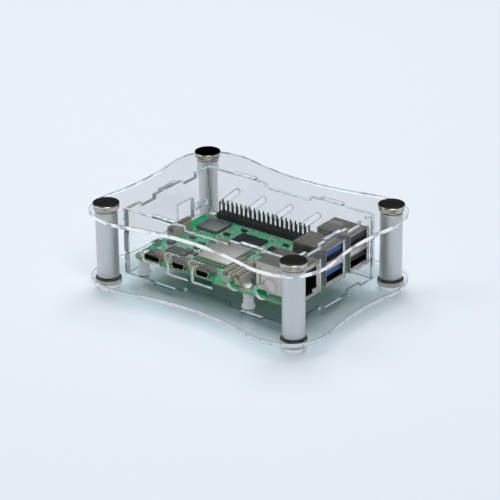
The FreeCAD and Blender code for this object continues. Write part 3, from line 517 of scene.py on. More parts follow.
class Shape:
    """A mesh under construction, in millimetres in the case's frame."""

    def __init__(self) -> None:
        """Start with nothing."""
        self.bm = bmesh.new()

    def cube(self, place: Matrix, material: int) -> list[bmesh.types.BMVert]:
        """Add a unit cube under a transform.

        Args:
            place: Transform of the unit cube.
            material: Index of its finish.

        Returns:
            The new vertices.
        """
        made = bmesh.ops.create_cube(self.bm, size=1.0, matrix=place)["verts"]
        for face in {f for v in made for f in v.link_faces}:
            face.material_index = material
        return made

    def box(self, low: Sequence[float], high: Sequence[float], bevel: float = 0.0,
            material: int = 0) -> None:
        """Add a block between two opposite corners.

        Args:
            low: One corner.
            high: The opposite corner.
            bevel: Width of the bevel on all edges, or nothing.
            material: Index of the block's finish.
        """
        lo, hi = (Vector(map(pick, low, high)) for pick in (min, max))
        size = hi - lo
        made = self.cube(Matrix.Translation((lo + hi) / 2) @ Matrix.Diagonal((*size, 1.0)), material)
        if bevel > 0:
            edges = list({e for v in made for e in v.link_edges})
            bmesh.ops.bevel(self.bm, geom=edges, offset=bevel, offset_type="OFFSET", segments=1,
                            profile=0.5, affect="EDGES", material=-1)

    def beam(self, start: Sequence[float], end: Sequence[float], width: float, thickness: float,
             up: Sequence[float] = (0.0, 0.0, 1.0), material: int = 0) -> None:
        """Add a straight flat bar between two points.

        Args:
            start: Middle of one end.
            end: Middle of the other end.
            width: Size across the bar.
            thickness: Size along the up direction.
            up: Direction that the bar's broad face looks along.
            material: Index of its finish.
        """
        a, b = Vector(start), Vector(end)
        along = (b - a).normalized()
        across = Vector(up).cross(along).normalized()
        turn = Matrix((along, across, along.cross(across))).transposed().to_4x4()
        size = Matrix.Diagonal(((b - a).length, width, thickness, 1.0))
        self.cube(Matrix.Translation((a + b) / 2) @ turn @ size, material)

    def disc(self, place: Sequence[float], radius: float, height: float, facets: int = 16,
             tip: float | None = None, material: int = 0) -> None:
        """Add an upright closed cone or cylinder that stands on a point.

        Args:
            place: Middle of its lower face.
            radius: Radius below.
            height: Height; a negative one goes downwards.
            facets: Facets round it.
            tip: Radius above, when it differs.
            material: Index of its finish.
        """
        middle = Vector(place) + Vector((0, 0, height / 2))
        upright = Matrix.Diagonal((1, 1, math.copysign(1, height), 1))
        made = bmesh.ops.create_cone(
            self.bm, cap_ends=True, segments=facets, radius1=radius,
            radius2=radius if tip is None else tip, depth=abs(height),
            matrix=Matrix.Translation(middle) @ upright)["verts"]
        for face in {f for v in made for f in v.link_faces}:
            face.material_index = material

    def turned(self, profile: Sequence[tuple[float, float]], axis: Sequence[float],
               steps: int = 64, material: int = 0) -> None:
        """Spin (radius, z) points about an upright axis into a closed body.

        Args:
            profile: Points from the axis at one end to the axis at the other, or a closed ring.
            axis: X and Y of the axis.
            steps: Facets round the body.
            material: Index of the body's finish.
        """
        known = set(self.bm.verts)
        verts = [self.bm.verts.new((axis[0] + r, axis[1], z)) for r, z in profile]
        edges = [self.bm.edges.new(pair) for pair in zip(verts, verts[1:])]
        bmesh.ops.spin(self.bm, geom=verts + edges, cent=(axis[0], axis[1], 0), axis=(0, 0, 1),
                       dvec=(0, 0, 0), angle=2 * math.pi, steps=steps, use_merge=True,
                       use_normal_flip=False, use_duplicate=False)
        made = [v for v in self.bm.verts if v not in known]
        bmesh.ops.remove_doubles(self.bm, verts=made, dist=1e-5)
        for face in {f for v in self.bm.verts if v not in known for f in v.link_faces}:
            face.material_index = material

    def copied(self, node: str, bevel: float, sharper_than: float = 30.0, clamp: bool = True) -> None:
        """Start from a merged copy of a CAD node and break its edges.

        Args:
            node: CAD node to copy.
            bevel: Width of the broken edges, or nothing.
            sharper_than: Smallest angle, in degrees, of an edge that is broken.
            clamp: Keep the broken edges from running into each other.
        """
        self.bm.from_mesh(frame["nodes"][node].data)
        bmesh.ops.scale(self.bm, vec=(1 / METRES,) * 3, verts=self.bm.verts)
        bmesh.ops.remove_doubles(self.bm, verts=self.bm.verts, dist=1e-4)
        bmesh.ops.dissolve_limit(self.bm, angle_limit=math.radians(1.0), verts=self.bm.verts,
                                 edges=self.bm.edges, use_dissolve_boundaries=False, delimit={"NORMAL"})
        bmesh.ops.recalc_face_normals(self.bm, faces=self.bm.faces)
        if bevel > 0:
            sharp = [e for e in self.bm.edges
                     if e.is_manifold and e.calc_face_angle() > math.radians(sharper_than)]
            bmesh.ops.bevel(self.bm, geom=sharp, offset=bevel, offset_type="OFFSET", segments=1,
                            profile=0.5, affect="EDGES", clamp_overlap=clamp, material=-1)

    def finish(self, name: str, body: str, finishes: Sequence, slot: str,
               smooth_below: float = 35.0, recalculate: bool = True) -> bpy.types.Object:
        """Turn the shape to metres and make it a piece that rides on a body.

        Args:
            name: Name of the piece.
            body: CAD body that it moves with.
            finishes: Finish for each material index.
            slot: Material slot of the record; not used.
            smooth_below: Edges under this angle, in degrees, are shaded smooth.
            recalculate: Turn all faces outwards.

        Returns:
            The finished object.
        """
        if recalculate:
            bmesh.ops.recalc_face_normals(self.bm, faces=self.bm.faces)
        bmesh.ops.scale(self.bm, vec=(METRES, METRES, METRES), verts=self.bm.verts)
        limit = math.radians(smooth_below)
        for face in self.bm.faces:
            face.smooth = True
            face.material_index = min(face.material_index, len(finishes) - 1)
        for edge in self.bm.edges:
            edge.smooth = len(edge.link_faces) == 2 and edge.calc_face_angle(math.pi) < limit
        mesh = bpy.data.meshes.new(name)
        self.bm.to_mesh(mesh)
        self.bm.free()
        for finish in finishes:
            mesh.materials.append(finish.build())
        piece = bpy.data.objects.new(name, mesh)
        bpy.context.scene.collection.objects.link(piece)
        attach(piece, body)
        log.info("%s on %s: %d faces", name, body, len(mesh.polygons))
        return piece

    def stand_in(self, node: str, suffix: str, finishes: Sequence, slot: str, body: str = CASE,
                 smooth_below: float = 35.0, recalculate: bool = True) -> None:
        """Finish the shape as the piece that is shown for a CAD node.

        Args:
            node: CAD node that it stands for.
            suffix: Last part of the piece's name, after the node's own name.
            finishes: Finish for each material index.
            slot: Material slot of the record, handed on to finish.
            body: CAD body that it moves with.
            smooth_below: Edges under this angle, in degrees, are shaded smooth.
            recalculate: Turn all faces outwards.
        """
        piece = self.finish(f"{node}_{suffix}", body, finishes, slot, smooth_below, recalculate)
        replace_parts(piece, node)


def broken_copy(node: str, finish: Finish, slot: str, bevel: float, body: str = CASE) -> None:
    """Stand a copy with broken edges in for a CAD node.

    Args:
        node: CAD node that it stands for.
        finish: Its finish.
        slot: Material slot of the record.
        bevel: Width of the broken edges.
        body: CAD body that it rides on.
    """
    shape = Shape()
    shape.copied(node, bevel)
    shape.stand_in(node, "moulding", (finish,), slot, body)


# ---- acrylic --------------------------------------------------------------------------------------
class SheetFace(Enum):
    """The axis that a sheet's two polished faces look along."""

    UPRIGHT = 2
    FRONT = 1
    SIDE = 0


@dataclass
class AcrylicCase:
    """The six clear sheets: polished faces, pale cut edges and a fine break on every rim."""

    plate_bevel: float = 0.15
    wall_bevel: float = 0.2
    rim_angle: float = 50.0
    flat_slope: float = 0.95
    edge_slope: float = 0.3

    def sheet(self, node: str, body: str, face: SheetFace, edge: CutEdge) -> None:
        """Copy one sheet from the frame and break its rims.

        Args:
            node: CAD node of the sheet.
            body: CAD body that the sheet rides on.
            face: Axis that its polished faces look along.
            edge: Finish of its cut edge.
        """
        plate = face is SheetFace.UPRIGHT
        shape = Shape()
        shape.copied(node, self.plate_bevel if plate else self.wall_bevel, self.rim_angle, False)
        for polygon in shape.bm.faces:
            along = abs(polygon.normal[face.value])
            polygon.material_index = 2
            if along > self.flat_slope:
                polygon.material_index = 0
            elif along < self.edge_slope:
                polygon.material_index = 1
        shape.stand_in(node, "sheet", (ACRYLIC, edge, PLATE_RIM if plate else WALL_RIM),
                       "clear_acrylic", body, 12.0, False)

    def build(self) -> None:
        """Make all six sheets."""
        self.sheet("top_plate", LID, SheetFace.UPRIGHT, TOP_EDGE)
        self.sheet("bottom_plate", CASE, SheetFace.UPRIGHT, BASE_EDGE)
        self.sheet("front_wall", CASE, SheetFace.FRONT, FRONT_EDGE)
        self.sheet("back_wall", CASE, SheetFace.FRONT, WALL_EDGE)
        self.sheet("left_wall", CASE, SheetFace.SIDE, WALL_EDGE)
        self.sheet("right_wall", CASE, SheetFace.SIDE, FRONT_EDGE)


# ---- pillars, thumb screws and feet -----------------------------------------------------------------
@dataclass
class PillarSet:
    """Four turned pillars, each between a knurled thumb screw and a knurled foot."""

    ridges: int = 54
    ridge_depth: float = 0.28
    rim: float = 0.35
    bore_radius: float = 1.6
    stud_radius: float = 1.5
    thread_pitch: float = 0.5
    thread_depth: float = 0.28
    stud_length: float = 10.0
    band_low: float = 2.2
    shade_band: float = 0.25

    def knurled(self, shape: Shape, rings: Sequence[tuple[float, float, bool]],
                axis: Sequence[float]) -> None:
        """Add a closed body whose marked rings carry fine upright ridges.

        Args:
            shape: Shape that gets the body.
            rings: Radius, level and whether the ridges show there, from one end to the other.
            axis: X and Y of the axis.
        """
        previous: list[bmesh.types.BMVert] = []
        count = self.ridges * 2
        for radius, level, ridged in rings:
            place = Matrix.Translation((axis[0], axis[1], level))
            ring = bmesh.ops.create_circle(shape.bm, cap_ends=False, radius=radius, segments=count,
                                           matrix=place)["verts"]
            if ridged:
                for vert in ring[::2]:
                    inward = Vector((axis[0] - vert.co.x, axis[1] - vert.co.y, 0)).normalized()
                    vert.co += inward * self.ridge_depth
            edges = list({e for v in ring for e in v.link_edges})
            if previous:
                before = [e for e in {e for v in previous for e in v.link_edges}
                          if e.verts[0] in previous and e.verts[1] in previous]
                bmesh.ops.bridge_loops(shape.bm, edges=before + edges)
            else:
                shape.bm.faces.new(ring)
            previous = ring
        shape.bm.faces.new(previous)

    def thread(self, shape: Shape, axis: Sequence[float], low: float, high: float) -> None:
        """Add a stud with rings of thread between two levels.

        Args:
            shape: Shape that gets the stud.
            axis: X and Y of the axis.
            low: Level of its lower end.
            high: Level of its upper end.
        """
        turns = int((high - low) / self.thread_pitch)
        root, crest = self.stud_radius - self.thread_depth, self.stud_radius
        profile = [(0.0, low), (root, low)]
        for i in range(turns):
            level = low + i * self.thread_pitch
            profile += [(crest, level + self.thread_pitch * 0.5), (root, level + self.thread_pitch)]
        profile += [(root, high), (0.0, high)]
        shape.turned(profile, axis, 24)

    def pillar(self, corner: str) -> None:
        """Make one pillar from its CAD box.

        Args:
            corner: Corner of the case that it stands at.
        """
        box = Extent.of(f"pillar_{corner}")
        radius, low, high, bore = box.size.x / 2, box.low.z, box.high.z, self.bore_radius
        shape = Shape()
        shape.turned([(bore, low), (radius - self.rim, low), (radius, low + self.rim),
                      (radius, high - self.rim), (radius - self.rim, high), (bore, high), (bore, low)],
                     box.middle[:2], 96)
        shape.stand_in(f"pillar_{corner}", "turned", (ANODISED,), "satin_aluminium")

    def thumb_screw(self, corner: str) -> None:
        """Make one thumb screw, knurled head and threaded stud, and the black disc in its top.

        Args:
            corner: Corner of the case that it stands at.
        """
        box, inlay = Extent.of(f"thumb_screw_{corner}"), Extent.of(f"screw_inlay_{corner}")
        seat = Extent.of("top_plate").high.z
        axis, radius, top = box.middle[:2], box.size.x / 2, box.high.z
        pocket, floor = inlay.size.x / 2, inlay.low.z
        shape = Shape()
        self.knurled(shape, [
            (radius - 0.75, seat, False), (radius - 0.7, seat + 0.34, False),
            (radius - 0.42, seat + 0.42, False), (radius - 0.3, seat + 0.55, True),
            (radius - 0.02, top - 0.8, True), (radius, top - 0.6, False),
            (radius, top - 0.14, False), (radius - 0.12, top, False), (pocket, top, False),
            (pocket, floor, False)], axis)
        self.thread(shape, axis, box.low.z, seat)
        body = f"thumb_screw_{corner}"
        shape.stand_in(body, "knurled", (NICKEL,), "nickel", body, 24.0)
        disc = Shape()
        disc.turned([(0.0, floor), (pocket, floor), (pocket, top - 0.1), (pocket - 0.2, top - 0.02),
                     (1.3, top - 0.02), (0.5, top - 0.14), (0.0, top - 0.16)], axis, 64)
        disc.stand_in(f"screw_inlay_{corner}", "disc", (BLACK_FILM,), "black_inlay", body, 40.0)

    def feet(self) -> None:
        """Make the four feet as one piece and their pads as another."""
        seat = Extent.of("bottom_plate").low.z
        pad = Extent.of("foot_pads")
        pad_top = pad.high.z
        pad_radius = pad.high.x - Extent.of("pillar_front_right").middle.x
        shape, pads = Shape(), Shape()
        for corner in CORNERS:
            axis = Extent.of(f"pillar_{corner}").middle[:2]
            head = Extent.of(f"thumb_screw_{corner}").size.x / 2
            self.knurled(shape, [
                (pad_radius, pad_top, False), (head - 0.75, self.band_low - 0.35, False),
                (head - 0.45, self.band_low, False), (head - 0.05, self.band_low + 0.1, True),
                (head - 0.05, seat - self.shade_band - 0.1, True), (head - 0.2, seat - self.shade_band, False),
                (head - 0.25, seat, False)], axis)
            self.thread(shape, axis, seat, seat + self.stud_length)
            pads.turned([(0.0, 0.0), (pad_radius - 0.4, 0.0), (pad_radius - 0.1, 0.15),
                         (pad_radius, 0.4), (pad_radius, pad_top), (0.0, pad_top)], axis, 48)
        # Faces below the band are the pad's rubber; the top of each foot, against the plate, is painted
        # shade.
        for face in shape.bm.faces:
            level = face.calc_center_median().z
            if level < self.band_low - 0.05:
                face.material_index = 1
            elif seat - self.shade_band < level < seat + 0.01:
                face.material_index = 2
        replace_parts(shape.finish("feet_knurled", CASE, (NICKEL, RUBBER, FOOT_TOP_SHADE), "nickel", 24.0),
                    "foot_screws")
        pads.stand_in("foot_pads", "moulded", (RUBBER,), "foot_rubber")

    def build(self) -> None:
        """Make the pillars, thumb screws and feet."""
        for corner in CORNERS:
            self.pillar(corner)
            self.thumb_screw(corner)
        self.feet()


# ---- circuit board ----------------------------------------------------------------------------------
class ChipKind(Enum):
    """Small parts soldered on in numbers: length, width, height and the finish of the body."""

    SMALL_CAPACITOR = (1.0, 0.5, 0.5, 1)
    SMALL_RESISTOR = (1.0, 0.5, 0.35, 2)
    CAPACITOR = (1.6, 0.8, 0.75, 1)
    LARGE_CAPACITOR = (2.0, 1.25, 1.1, 1)


TWO_KINDS = (ChipKind.SMALL_CAPACITOR, ChipKind.SMALL_RESISTOR)
THREE_KINDS = (*TWO_KINDS, ChipKind.CAPACITOR)
POWER_KINDS = (ChipKind.SMALL_CAPACITOR, ChipKind.CAPACITOR, ChipKind.LARGE_CAPACITOR)
RADIO_KINDS = (ChipKind.SMALL_CAPACITOR, ChipKind.CAPACITOR, ChipKind.SMALL_RESISTOR)


@dataclass(frozen=True)
class Zone:
    """Part of the board that carries a crowd of small chips."""

    low_x: float
    low_y: float
    high_x: float
    high_y: float
    count: int
    kinds: tuple[ChipKind, ...] = TWO_KINDS


@dataclass(frozen=True)
class Tracks:
    """Run of parallel copper tracks with one slanted stretch, shown through the mask."""

    start: tuple[float, float]
    end: tuple[float, float]
    count: int
    pitch: float = 0.45


class CircuitBoard:
    """The bare board with its tracks, pads, printed legend and small chips.

    Places are counted from the board's front left corner and from its upper face.
    """

    mount_holes = ((3.5, 3.5), (61.5, 3.5), (3.5, 52.5), (61.5, 52.5))
    zones = (
        Zone(15.6, 8.0, 24.3, 20.6, 76, POWER_KINDS),
        Zone(5.6, 8.2, 15.8, 21.0, 62, RADIO_KINDS),
        Zone(20.0, 6.6, 48.6, 11.2, 36),
        Zone(24.6, 32.0, 44.8, 32.6, 6),
        Zone(45.0, 11.4, 52.4, 34.8, 40, THREE_KINDS),
        Zone(53.0, 17.0, 66.2, 28.4, 14, RADIO_KINDS),
        Zone(43.0, 36.0, 70.0, 49.0, 84, THREE_KINDS),
        Zone(19.2, 32.4, 27.6, 48.6, 40),
        Zone(6.0, 22.0, 24.0, 35.0, 22, THREE_KINDS),
        Zone(28.0, 43.2, 42.2, 49.0, 22),
        Zone(60.4, 1.0, 66.4, 7.4, 8),
        Zone(63.4, 28.0, 70.2, 48.0, 26),
    )
    runs = (
        Tracks((30.5, 11.4), (24.0, 6.4), 8), Tracks((38.0, 11.4), (37.4, 6.4), 8),
        Tracks((44.8, 14.0), (49.8, 4.0), 9), Tracks((44.8, 20.0), (56.2, 5.0), 8),
        Tracks((45.0, 24.0), (53.0, 30.0), 9), Tracks((63.0, 30.0), (70.4, 25.0), 9),
        Tracks((63.0, 35.0), (70.4, 43.0), 8), Tracks((57.0, 28.4), (66.6, 15.0), 6),
        Tracks((30.0, 43.0), (12.0, 49.6), 6, 0.6), Tracks((36.0, 43.0), (30.0, 49.6), 9, 0.6),
        Tracks((54.0, 38.8), (44.0, 49.6), 9, 0.6), Tracks((24.4, 26.0), (7.0, 30.0), 10),
        Tracks((24.4, 15.0), (15.6, 13.0), 6, 0.7), Tracks((7.0, 33.0), (3.0, 48.0), 5, 0.6),
    )
    ink = 0.12
    track_width = 0.2
    film = 0.03
    via_count = 330
    pad_count = 46
    margin = 1.0
    hole_clearance = 3.4
    tries = 14
    seed = 52
    dash_count = 9
    crystals_at = ((48.2, 31.4), (67.6, 38.4), (22.0, 29.2))
    transistors_at = ((65.2, 24.4), (26.6, 45.6), (12.4, 27.0), (51.0, 44.0), (22.6, 38.0))
    pin_pitch = 2.54
    pin_grids = ((32.5, 52.5, 20), (62.6, 9.6, 2))
    socket_prints = ((70.8, 85.0, 22.4, 35.8), (70.8, 85.0, 40.3, 53.7), (67.0, 85.0, 2.2, 18.2))

    def __init__(self) -> None:
        """Read the board's place and the boxes of the parts that stand on it."""
        box = Extent.of("circuit_board")
        self.origin = Vector((box.low.x, box.low.y, box.high.z))
        self.size, self.thickness = box.size, box.size.z
        self.taken: list[tuple[float, float, float, float]] = []
        for name in frame["nodes"]:
            for part in Extent.pieces_of(name):
                low, high = part.low - self.origin, part.high - self.origin
                if -0.1 < low.z < 0.4 and high.z > 0.2 and name != "circuit_board":
                    self.taken.append((low.x, low.y, high.x, high.y))
        keep = self.hole_clearance
        self.taken += [(x - keep, y - keep, x + keep, y + keep) for x, y in self.mount_holes]
        self.dice = random.Random(self.seed)

    def at(self, x: float, y: float, z: float = 0.0) -> Vector:
        """Place on the board in the case's frame."""
        return self.origin + Vector((x, y, z))

    def free(self, x0: float, y0: float, x1: float, y1: float, gap: float) -> bool:
        """Tell whether a rectangle clears the board's rim and everything placed so far.

        Args:
            x0: Left side.
            y0: Front side.
            x1: Right side.
            y1: Back side.
            gap: Smallest distance to what is placed.

        Returns:
            Whether there is room.
        """
        inside = (min(x0, y0) > self.margin and x1 < self.size.x - self.margin
                  and y1 < self.size.y - self.margin)
        return inside and all(x1 + gap < a or x0 - gap > c or y1 + gap < b or y0 - gap > d
                              for a, b, c, d in self.taken)

    def bare_board(self) -> None:
        """Make the laminate: mask on both faces, pale routed edge."""
        shape = Shape()
        shape.copied("circuit_board", 0.08, 50.0)
        for face in shape.bm.faces:
            face.material_index = 0 if abs(face.normal.z) > 0.9 else 1
        piece = shape.finish("board_laminate", CASE, (SOLDER_MASK, LAMINATE_CUT), "green_mask")
        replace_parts(piece, "circuit_board")

    def copper(self) -> None:
        """Lay tracks, vias, test pads and the rings round the mounting holes."""
        shape = Shape()
        for run in self.runs:
            for i in range(run.count):
                self.track(shape, run, i * run.pitch)
        for _ in range(self.via_count):
            x, y = self.dice.uniform(2, self.size.x - 2), self.dice.uniform(2, self.size.y - 2)
            if self.free(x - 0.3, y - 0.3, x + 0.3, y + 0.3, 0.0):
                shape.disc(self.at(x, y), 0.26, self.film, 6)
        for _ in range(self.pad_count):
            x, y = self.dice.uniform(4, self.size.x - 4), self.dice.uniform(5, self.size.y - 7)
            if self.free(x - 0.6, y - 0.6, x + 0.6, y + 0.6, 0.1):
                shape.disc(self.at(x, y), 0.5, self.film, 12, material=1)
        for x, y in self.mount_holes:
            middle, top = self.at(x, y), self.film
            for level, lift in ((0.0, top), (-self.thickness - top, top)):
                low = self.origin.z + level
                shape.turned([(1.5, low), (3.0, low), (3.0, low + lift), (1.5, low + lift), (1.5, low)],
                             middle[:2], 40, 1)
        shape.finish("board_copper", CASE, (MASK_OVER_COPPER, PAD_GOLD), "green_mask")

    def track(self, shape: Shape, run: Tracks, shift: float) -> None:
        """Add one track of a run: straight, slanted, straight.

        Args:
            shape: Shape that gets the track.
            run: Run that it belongs to.
            shift: Offset of this track across the run.
        """
        (x0, y0), (x1, y1) = run.start, run.end
        dx, dy = x1 - x0, y1 - y0
        slant = min(abs(dx), abs(dy))
        if abs(dy) >= abs(dx):
            lead, side = Vector((0, math.copysign((abs(dy) - slant) / 2, dy), 0)), Vector((shift, 0, 0))
        else:
            lead, side = Vector((math.copysign((abs(dx) - slant) / 2, dx), 0, 0)), Vector((0, shift, 0))
        half = Vector((0, 0, self.film / 2))
        first, last = self.at(x0, y0) + side + half, self.at(x1, y1) + side + half
        for a, b in ((first, first + lead), (first + lead, last - lead), (last - lead, last)):
            if (b - a).length > 0.1:
                shape.beam(a, b, self.track_width, self.film)

    def outline(self, shape: Shape, x0: float, y0: float, x1: float, y1: float) -> None:
        """Print a thin rectangle.

        Args:
            shape: Shape that gets the ink.
            x0: Left side.
            y0: Front side.
            x1: Right side.
            y1: Back side.
        """
        z = self.film / 2
        corners = [self.at(x0, y0, z), self.at(x1, y0, z), self.at(x1, y1, z), self.at(x0, y1, z)]
        for a, b in zip(corners, corners[1:] + corners[:1]):
            shape.beam(a, b, self.ink, self.film)

    def legend(self) -> None:
        """Print outlines round the parts and a dot at each first pin."""
        shape = Shape()
        for x0, y0, x1, y1 in list(self.taken):
            if x1 - x0 < 40 and x0 > 2 and x1 < 66 and y0 > 2:
                self.outline(shape, x0 - 0.35, y0 - 0.35, x1 + 0.35, y1 + 0.35)
                shape.disc(self.at(x0 - 0.8, y0 - 0.2), 0.25, self.film, 10)
        self.outline(shape, 6.8, 49.7, 58.2, 55.3)
        for x, y in self.mount_holes:
            low = self.origin.z
            shape.turned([(3.15, low), (3.3, low), (3.3, low + self.film), (3.15, low + self.film),
                          (3.15, low)], self.at(x, y)[:2], 40)
        for i in range(self.dash_count):
            x = 46.5 + i * 0.7
            shape.beam(self.at(x, 33.0, 0.01), self.at(x, 35.2, 0.01), 0.3, 0.02)
        shape.finish("board_legend", CASE, (LEGEND_INK,), "white_plastic")

    def chip(self, shape: Shape, kind: ChipKind, x: float, y: float, turned: bool) -> None:
        """Solder on one small chip with its two bright ends.

        Args:
            shape: Shape that gets the chip.
            kind: What it is.
            x: Middle along X.
            y: Middle along Y.
            turned: Lie along Y and not along X.
        """
        length, width, height, body = kind.value
        cap = length * 0.24
        parts = [(-length / 2, -length / 2 + cap, 0.0, 3), (length / 2 - cap, length / 2, 0.0, 3),
                 (-length / 2 + cap, length / 2 - cap, 0.04, body)]
        for a, b, inset, material in parts:
            half = width / 2 - inset
            if turned:
                low, high = (x - half, y + a, 0.0), (x + half, y + b, height - inset)
            else:
                low, high = (x + a, y - half, 0.0), (x + b, y + half, height - inset)
            shape.box(self.at(*low), self.at(*high), 0.0, material)
        pad = 0.22
        across, along = (width / 2, length / 2 + pad) if turned else (length / 2 + pad, width / 2)
        shape.box(self.at(x - across, y - along), self.at(x + across, y + along, 0.05), 0.0, 3)

    def small_chips(self) -> None:
        """Crowd the zones with chips that keep clear of everything else."""
        shape = Shape()
        for zone in self.zones:
            placed = 0
            for _ in range(zone.count * self.tries):
                if placed == zone.count:
                    break
                kind = self.dice.choice(zone.kinds)
                turned = self.dice.random() < 0.5
                length, width = kind.value[:2]
                half_x, half_y = length / 2 + 0.2, width / 2
                if turned:
                    half_x, half_y = half_y, half_x
                x = round(self.dice.uniform(zone.low_x, zone.high_x), 1)
                y = round(self.dice.uniform(zone.low_y, zone.high_y), 1)
                if self.free(x - half_x, y - half_y, x + half_x, y + half_y, 0.18):
                    self.chip(shape, kind, x, y, turned)
                    self.taken.append((x - half_x, y - half_y, x + half_x, y + half_y))
                    placed += 1
        shape.finish("board_small_chips", CASE, (SOLDER, CERAMIC_TAN, RESISTOR_GLAZE, CHIP_END),
                     "shield_metal")

    def crystals(self) -> None:
        """Solder on the metal-lidded crystals and a few moulded transistors with leads."""
        shape = Shape()
        for x, y in self.crystals_at:
            if self.free(x - 1.6, y - 1.25, x + 1.6, y + 1.25, 0.1):
                shape.box(self.at(x - 1.6, y - 1.25), self.at(x + 1.6, y + 1.25, 0.35), 0.08, 1)
                shape.box(self.at(x - 1.4, y - 1.05, 0.3), self.at(x + 1.4, y + 1.05, 0.75), 0.12, 0)
                self.taken.append((x - 1.6, y - 1.25, x + 1.6, y + 1.25))
        for x, y in self.transistors_at:
            if self.free(x - 1.6, y - 1.3, x + 1.6, y + 1.3, 0.1):
                shape.box(self.at(x - 1.45, y - 0.7, 0.1), self.at(x + 1.45, y + 0.7, 1.0), 0.1, 1)
                for dx, side in ((-0.95, -1), (0.95, -1), (0.0, 1)):
                    root, knee, foot, toe = (
                        self.at(x + dx, y + side * reach, level)
                        for reach, level in ((0.7, 0.45), (1.0, 0.1), (1.0, 0.07), (1.35, 0.07)))
                    shape.beam(root, knee, 0.4, 0.1)
                    shape.beam(foot, toe, 0.4, 0.1)
                self.taken.append((x - 1.6, y - 1.35, x + 1.6, y + 1.35))
        shape.finish("board_crystals", CASE, (SHIELD, EPOXY), "shield_metal")

    def joints(self) -> None:
        """Put a solder cone round every pin on the underside of the board."""
        shape = Shape()
        pitch = self.pin_pitch
        for x_mid, y_mid, columns in self.pin_grids:
            for x in spread(x_mid, columns, pitch):
                for y in spread(y_mid, 2, pitch):
                    shape.disc(self.at(x, y, -self.thickness), 0.85, -0.75, 10, 0.42)
        for x0, x1, y0, y1 in self.socket_prints:
            for k in range(6):
                for y in (y0 + 1.6, (y0 + y1) / 2, y1 - 1.6):
                    x = x0 + 1.5 + k * (x1 - x0 - 4.2) / 5
                    if x < self.size.x - 1.2:
                        shape.disc(self.at(x, y, -self.thickness), 0.8, -0.7, 10, 0.35)
        shape.finish("board_solder_joints", CASE, (SOLDER,), "shield_metal")

    def build(self) -> None:
        """Make the board and all that is soldered on in numbers."""
        self.bare_board()
        self.copper()
        self.legend()
        self.crystals()
        self.small_chips()
        self.joints()


